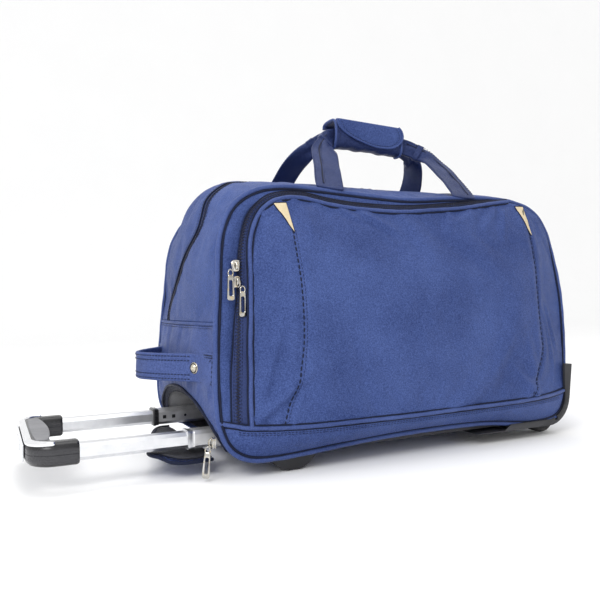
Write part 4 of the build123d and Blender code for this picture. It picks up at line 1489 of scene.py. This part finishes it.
def flap():
    """The flap, folded out below the tubes: outer fabric, dark lining and its half of the zip."""
    edge = spline(FLAP_POINTS, 90)
    closing = np.stack([np.full(26, 5.0), np.linspace(242, 34, 28)[1:-1]], 1)
    loop = np.vstack([edge, closing])[::-1]

    def level(a, b):
        tip = 3.0 * smooth((-a - 25) / 35) * smooth((90 - b) / 30)
        return 24.0 + tip - 5.5 * smooth((52 - b) / 16) * smooth((a + 66) / 22)

    def frame_of(a, b, offset):
        return np.stack([a, b, level(a, b) + offset], 1)

    outer = cushion("flap_fabric", loop, lambda a, b, o: frame_of(a, b, o - 0.8), 3.4, "lower_fabric", None)
    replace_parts(outer, "trolley_flap")
    small = loop.mean(0) + (loop - loop.mean(0)) * 0.93
    inner = cushion("flap_lining", small, lambda a, b,
                    o: frame_of(a, b, o + 1.6 + 0.5 * np.sin(b * 0.13 + a * 0.1)),
                    1.4, "dark_lining", None)
    rim_path = frame_of(edge[:, 0], edge[:, 1], np.zeros(90))
    bound = cord("flap_binding", rim_path, 2.0, "edging_and_painted_shadow", None)
    centre = loop.mean(0)
    teeth_line = centre + (edge - centre) * 0.955
    teeth = frame_of(teeth_line[:, 0], teeth_line[:, 1], np.full(90, 1.9))
    zipper = coil("flap_zip_coil", teeth, np.tile([0, 0, 1.0], (90, 1)), "coil", None, pitch=2.0, width=4.4)
    for piece in (outer, inner, bound, zipper):
        place(2, MID_Y, 24)
        place(-12, MID_Y, 24)
        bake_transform(piece)


# ---- zip hardware -----------------------------------------------------------------------------
def pull(name, node_name, eye, along, up, body, length=34.0):
    """A pressed zip pull: a tapered plate with a long window, a raised rim and a wire eye."""
    along, up = unit(along), unit(up)
    side = np.cross(up, along)
    outer = rectangle(5, length, -4.6, 4.6, (1.6, 2.6, 2.6, 1.6), 5)
    outer[:, 1] *= 0.72 + 0.28 * np.clip((outer[:, 0] - 5) / (length - 5), 0, 1)
    window = rectangle(11, length - 5, -2.1, 2.1, (1.5, 1.5, 1.5, 1.5), 5)
    shrink = outer.mean(0) + (outer - outer.mean(0)) * np.array([0.955, 0.86])
    swell = window.mean(0) + (window - window.mean(0)) * np.array([1.05, 1.22])
    levels = [(outer, -0.7), (outer, 0.5), (shrink, 1.0), (swell, 1.0), (window, 0.5), (window, -0.7)]
    grid = []
    for loop, height in levels:
        grid.append(np.array([eye + along * a + side * b + up * height for a, b in loop]))
    grid = np.stack(grid)
    plate = make(name, grid.reshape(-1, 3), looped_faces(*grid.shape[:2]), "zip_metal", None, body)
    plate.data.set_sharp_from_angle(angle=math.radians(40))
    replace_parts(plate, node_name)
    turn = np.linspace(0, 2 * math.pi, 24, endpoint=False)
    ring = np.array([
        eye + along * (3.0 + 4.0 * math.cos(a)) + side * 2.9 * math.sin(a) + up * 0.2 for a in turn])
    s, u = frames_for(ring, up, True)
    sweep(name + "_ring", ring, s, u, round_profile(0.8, 8), "zip_metal", body=body, closed=True)
    bar = np.array([eye + along * (7.0 + k) * 1.0 for k in (-1.0, 0.0, 1.0, 4.0)])
    s, u = frames_for(bar, up)
    sweep(name + "_neck", bar, s, u, flat_profile(4.2, 1.5, 4), "zip_metal", body=body)
    return plate


def slider(name, node_name, origin, along, up, body):
    """A zip slider: two cheeks narrowing to the throat, a bridge for the pull and raised rims."""
    along, up = unit(along), unit(up)
    side = np.cross(up, along)
    outline = np.array([(-6.2, -2.6), (-4.5, -3.8), (0, -4.4), (4.0, -4.7), (6.0, -3.6), (6.4, -1.4),
                        (6.4, 1.4),
                        (6.0, 3.6), (4.0, 4.7), (0, 4.4), (-4.5, 3.8), (-6.2, 2.6), (-6.6, 0)])
    levels = [(0.86, -0.2), (1.0, 0.1), (1.0, 1.2), (0.9, 1.5), (0.9, 2.9), (1.0, 3.2), (1.0, 4.1),
              (0.84, 4.6)]
    grid = np.array([[origin + along * a * k + side * b * k + up * h for a, b in outline] for k, h in levels])
    faces = capped_faces(len(levels), len(outline))
    body_piece = make(name, grid.reshape(-1, 3), faces, "zip_metal", None, body)
    body_piece.data.set_sharp_from_angle(angle=math.radians(35))
    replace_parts(body_piece, node_name)
    bridge = np.array([origin + along * a + up * h for a, h in
                       ((-4.6, 4.2), (-4.4, 6.0), (-2.6, 7.1), (0.6, 7.2), (2.8, 6.6), (4.0, 5.4),
                        (4.2, 4.2))])
    s, u = frames_for(resample(bridge, 18), side)
    sweep(name + "_bridge", resample(bridge, 18), s, u, flat_profile(1.6, 3.0, 4), "zip_metal", body=body)


def middle(node_name):
    """The middle of a CAD node, in bag millimetres."""
    low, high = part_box(node_name)
    centre = (np.array(low) + np.array(high)) / 2
    return (centre - np.array([ORIGIN_X, ORIGIN_Y, 0.0])) / MM


def zip_hardware():
    """Every slider and pull, at its CAD node's place."""
    up_front = unit(np.array([0.0, -1.0, LEAN / (SHOULDER_Z - BODY_Z)]))
    along_front = unit(np.array([0.0, LEAN / (SHOULDER_Z - BODY_Z), 1.0]))
    for k, way in (("a", -1.0), ("b", 1.0)):
        at = middle(f"main_slider_{k}")
        at[2] = CROWN_Z - 0.4
        slider(f"main_slider_{k}_body", f"main_slider_{k}", at, (way, 0, 0), (0, 0, 1), f"top_slider_{k}")
        eye = middle(f"main_pull_{k}")
        eye[0] += -way * 17.0
        pull(f"main_pull_{k}_tab", f"main_pull_{k}", eye, (way, 0, 0), (0, 0, 1), f"top_pull_{k}")
    for k in ("upper", "lower"):
        at = middle(f"pocket_slider_{k}")
        base = at - up_front * 3.5
        slider(f"pocket_slider_{k}_body", f"pocket_slider_{k}", base,
               along_front * (1 if k == "upper" else -1),
               up_front, f"side_slider_{k}")
        eye = middle(f"pocket_pull_{k}")
        eye[2] += 17.0
        pull(f"pocket_pull_{k}_tab", f"pocket_pull_{k}", eye, (0, 0, -1), (0, -1, 0), f"side_pull_{k}")
    at = middle("flap_slider")
    slider("flap_slider_body", "flap_slider", at + np.array([3.2, 0, 0]), (0, 0.25, -1), (-1, 0, 0), "bag")
    eye = middle("flap_pull")
    eye[2] += 17.0
    pull("flap_pull_tab", "flap_pull", eye, (-0.1, 0, -1), (-0.55, -0.83, 0), "end_pull")


# ---- hard parts -------------------------------------------------------------------------------
def grip():
    """The pull grip: a bar between two sockets, its trim strip and its speckled top plate."""
    corner = [(-165 - 16.5 * math.sin(a), 70 - 16.5 * math.cos(a)) for a in np.linspace(0, math.pi / 2, 9)]
    tube_y = TUBE_YS[0][1]
    half = [(-142.0, tube_y), (-154, tube_y)] + corner + [(-181.5, 84), (-181.5, 104), (-181.5, 122)]
    plan = resample(np.array(half + [(x, DEPTH - y) for x, y in half[::-1]]), 150)
    path = np.column_stack([plan, np.full(150, TUBE_Z)])
    across, above = 13.5, 13.0
    section = np.array([(across, -6), (across, -0.6), (across - 0.5, 0), (across, 0.6), (across, 6),
                        (across - 1.2, 9),
                        (across - 4, 12), (across - 7, above), (0, above + 0.3)])
    section = np.vstack([section, section[-2::-1] * [-1, 1]])
    low = section[1:-1][::-1] * [1, -1]
    ring = np.vstack([section, low])
    ring = ring[np.argsort(np.arctan2(ring[:, 1], ring[:, 0]))]
    profile = np.repeat(ring[None], 150, 0)
    middle_part = smooth((np.minimum(plan[:, 1], DEPTH - plan[:, 1]) - 66) / 20)
    profile[:, :, 0] *= 1 + 0.07 * middle_part[:, None]
    profile[:, :, 1] *= 1 + 0.03 * np.sin(np.clip((plan[:, 1] - 60) / 160, 0, 1) * math.pi)[:, None]
    for k, share in ((0, 0.90), (1, 0.98), (-2, 0.98), (-1, 0.90)):
        profile[k] *= share
    side, up = frames_for(path, (0, 0, 1.0))
    bar = sweep("grip_bar", path, side, up, profile, "gloss_black", "inner_stage")
    bar.data.set_sharp_from_angle(angle=math.radians(50))
    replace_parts(bar, "grip_body")
    sign = 1.0 if side[75][0] < 0 else -1.0
    line = path[15:-15] + side[15:-15] * (sign * 10.0) + up[15:-15] * 12.2
    strip = np.repeat(flat_profile(2.0, 0.5, 5)[None], len(line), 0)
    run = np.linspace(0, 1, len(line))
    swell = 0.62 + 0.38 * np.minimum(1, np.minimum(run, 1 - run) * 9) ** 0.5
    strip[:, :, 0] *= (4.1 * swell)[:, None]
    strip[:, :, 1] *= (9.0 * swell)[:, None]
    s, u = frames_for(line, (0, 0, 1.0))
    tilt = 0.42 * sign
    s, u = s * math.cos(tilt) - u * math.sin(tilt), s * math.sin(tilt) + u * math.cos(tilt)
    trim = sweep("grip_trim_strip", line, s, u, strip, "chrome", "inner_stage")
    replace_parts(trim, "grip_trim")
    bow = np.linspace(0, 1, 40)
    y = 62 + (DEPTH - 124) * bow
    inner = np.column_stack([-172.5 + 7.0 * np.sin(bow * math.pi) ** 0.7, y])
    outer_edge = np.column_stack([-183.5 - 3.0 * np.sin(bow * math.pi) ** 0.5, y])
    loop = np.vstack([outer_edge[::-1], inner])

    def frame_of(a, b, offset):
        return np.stack([a, b, TUBE_Z + 13.4 - 0.05 * (a + 180) + offset], 1)

    plate = cushion("grip_plate", loop, frame_of, 1.6, "grey", "inner_stage", flat=0.8)
    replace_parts(plate, "grip_top_plate")


def lock_holes():
    """Near-black pads just inside the pin holes and windows of the middle tubes: painted shade of the holes'
    insides.
    """
    for name, y in TUBE_YS:
        face = y + (12.05 if name == "front" else -12.05)
        way = 1 if name == "front" else -1
        for k, (x, half_size) in enumerate(((-7.0, 2.4), (6.0, 2.4), (23.0, 1.9))):
            loop = rectangle(x - half_size, x + half_size, TUBE_Z - half_size, TUBE_Z + half_size,
                             (0.5,) * 4 if k < 2 else (half_size * 0.98,) * 4, 5)

            def frame_of(a, b, offset, face=face, way=way):
                return np.stack([a, np.full_like(a, face) + way * (offset - 0.75), b], 1)

            # each pad paints the shade inside its hole
            cushion(f"tube_window_{name}_{k}", loop if way < 0 else loop[::-1], frame_of, 1.2, "black",
                    "middle_stage",
                    rings=4)


def skid_skin(x, z):
    """Draws the guard's skid in towards the bag's underside, less so up the wheel end."""
    radius = 40.0
    out_x, out_z = x - (LENGTH - radius), (BODY_Z + radius) - z
    if out_x > 0 and out_z > 0:
        reach = math.hypot(out_x, out_z)
        beyond, way = reach - radius, (out_x / reach, -out_z / reach)
    elif out_z > 0:
        beyond, way = out_z - radius, (0.0, -1.0)
    else:
        beyond, way = out_x - radius, (1.0, 0.0)
    if beyond < 0.5:
        return x, z
    keep = 0.2 + 0.65 * float(smooth((z - 45) / 60)) if x > LENGTH - radius else 0.2
    back = beyond * (1 - keep)
    return x - way[0] * back, z - way[1] * back


def collars():
    """A black end collar on the rear middle tube and a plain metal one on the front."""
    low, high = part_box("middle_collars")
    near, far = (low.x - ORIGIN_X) / MM, (high.x - ORIGIN_X) / MM
    for (name, y), mat, grow in zip(TUBE_YS, ("tube", "gloss_black"), (0.2, 1.3)):
        rings = []
        for x, inset_by in ((near, -0.9), (near, 0.5), (near + 1.2, grow), (near + 3.0, grow),
                            (near + 4.0, grow - 0.5),
                            (far - 0.6, grow - 0.6), (far, -0.2)):
            loop = rectangle(y - 12 - inset_by, y + 12 + inset_by, TUBE_Z - 10.5 - inset_by,
                             TUBE_Z + 10.5 + inset_by,
                             (3, 3, 3, 3), 5)
            rings.append(np.column_stack([np.full(len(loop), x), loop]))
        inner = rectangle(y - 9.2, y + 9.2, TUBE_Z - 8.0, TUBE_Z + 8.0, (2.4,) * 4, 5)
        rings = [np.column_stack([np.full(len(inner), near + 0.2), inner])] + rings
        rings.append(np.column_stack([np.full(len(inner), far), inner]))
        grid = np.stack(rings)
        piece = make(f"tube_collar_{name}", grid.reshape(-1, 3), looped_faces(*grid.shape[:2]), mat, None,
                     "middle_stage")
        piece.data.set_sharp_from_angle(angle=math.radians(40))
        if name == "rear":
            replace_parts(piece, "middle_collars")


def hard_parts():
    """CAD shapes with softened edges, and proper finishes on the rest."""
    for side in ("front", "rear"):
        refined(f"corner_guard_{side}", "black", 0.8, shape=skid_skin)
        refined(f"wheel_tyre_{side}", "tyre", 0.8)
        refined(f"wheel_hub_{side}", "grey", 0.5)
    refined("feet", "black", 1.2)
    grip()
    refined("grip_end_face", "pale", 0.6)
    refined("push_button", "pale", 1.2, segments=3)
    lock_holes()
    collars()
    refined("outer_collars", "black", 0.6)
    finishes = {"inner_tubes": "tube", "middle_tubes": "tube_middle", "outer_tubes": "tube_middle",
                "axles": "steel",
                "tube_bracket": "black", "base_board": "board", "button_spring": "steel",
                "push_rods": "steel",
                "lock_pin_front": "steel", "lock_pin_rear": "steel", "base_screws": "steel"}
    for node_name, mat in finishes.items():
        mesh = frame["nodes"][node_name].data
        mesh.materials.clear()
        mesh.materials.append(MATERIALS[mat])


# ---- studio -----------------------------------------------------------------------------------
def camera():
    """The photograph's viewing angle: from the front left, near the bag's own middle height."""
    turn, dip, roll = 0.4545, -0.0059, -0.0176
    forward = Vector((math.sin(turn), math.cos(turn), 0))
    right = Vector((math.cos(turn), -math.sin(turn), 0))
    up = Vector((0, 0, 1))
    ahead = forward * math.cos(dip) - up * math.sin(dip)
    above = up * math.cos(dip) + forward * math.sin(dip)
    across = right * math.cos(roll) + above * math.sin(roll)
    above = above * math.cos(roll) - right * math.sin(roll)
    data = bpy.data.cameras.new("camera")
    data.sensor_width = 36.0
    data.lens = 38.37
    data.clip_start = 0.02
    seat = bpy.data.objects.new("camera", data)
    bpy.context.scene.collection.objects.link(seat)
    matrix = Matrix((across, above, -ahead)).transposed().to_4x4()
    matrix.translation = (-0.4032, -0.8086, 0.1977)
    seat.matrix_world = matrix
    bpy.context.scene.camera = seat


def area_light(name, where, target, size, power, colour=(1, 1, 1)):
    data = bpy.data.lights.new(name, "AREA")
    data.shape = "RECTANGLE"
    data.size, data.size_y = size
    data.energy = power
    data.color = colour
    light = bpy.data.objects.new(name, data)
    bpy.context.scene.collection.objects.link(light)
    light.location = where
    light.rotation_euler = (Vector(target) - Vector(where)).to_track_quat("-Z", "Y").to_euler()


def studio():
    """Pale floor curving up behind, white surroundings and two soft boxes."""
    mesh = bpy.data.meshes.new("floor")
    half, back, curve, steps = 6.0, 3.0, 1.2, 14
    line = [(-half, 0.0)] + [(back + curve * math.sin(a), curve * (1 - math.cos(a)))
                             for a in np.linspace(0, math.pi / 2, steps)] + [(back + curve, 5.0)]
    points = [(x, y, z - 0.0006) for x in (-half, half) for y, z in line]
    n = len(line)
    mesh.from_pydata(points, [], [(k, n + k, n + k + 1, k + 1) for k in range(n - 1)])
    mesh.polygons.foreach_set("use_smooth", [True] * (n - 1))
    mesh.materials.append(MATERIALS["floor"])
    floor = bpy.data.objects.new("studio_floor", mesh)
    bpy.context.scene.collection.objects.link(floor)
    world = bpy.data.worlds.new("studio")
    world.use_nodes = True
    world.node_tree.nodes["Background"].inputs["Color"].default_value = (1, 1, 1, 1)
    world.node_tree.nodes["Background"].inputs["Strength"].default_value = 1.02
    bpy.context.scene.world = world
    area_light("key", (-1.25, -1.15, 1.30), (0.05, 0.0, 0.25), (0.9, 0.7), 19)
    area_light("top", (0.1, 0.3, 1.8), (0.05, 0.0, 0.2), (1.2, 0.9), 9)
    scene = bpy.context.scene
    scene.view_settings.view_transform = "Standard"


# ---- everything together ----------------------------------------------------------------------
def main():
    camera()
    studio()
    front_panel()
    pocket_piece = pocket()
    band_piece = band()
    pocket_zip()
    front_trim(pocket_piece, band_piece)
    outer_piping()
    halves = gussets()
    main_zip(halves)
    end_piece = left_end()
    seam_rows(end_piece)
    arch()
    right_end()
    back_panel()
    underside()
    carry_handle("front_strap", FRONT_HANDLE, "front_handle", "handle_front", False)
    carry_handle("rear_strap", REAR_HANDLE, "rear_handle", "handle_rear", True)
    grip_wrap()
    tongue()
    grab_handle()
    flap()
    zip_hardware()
    hard_parts()


main()
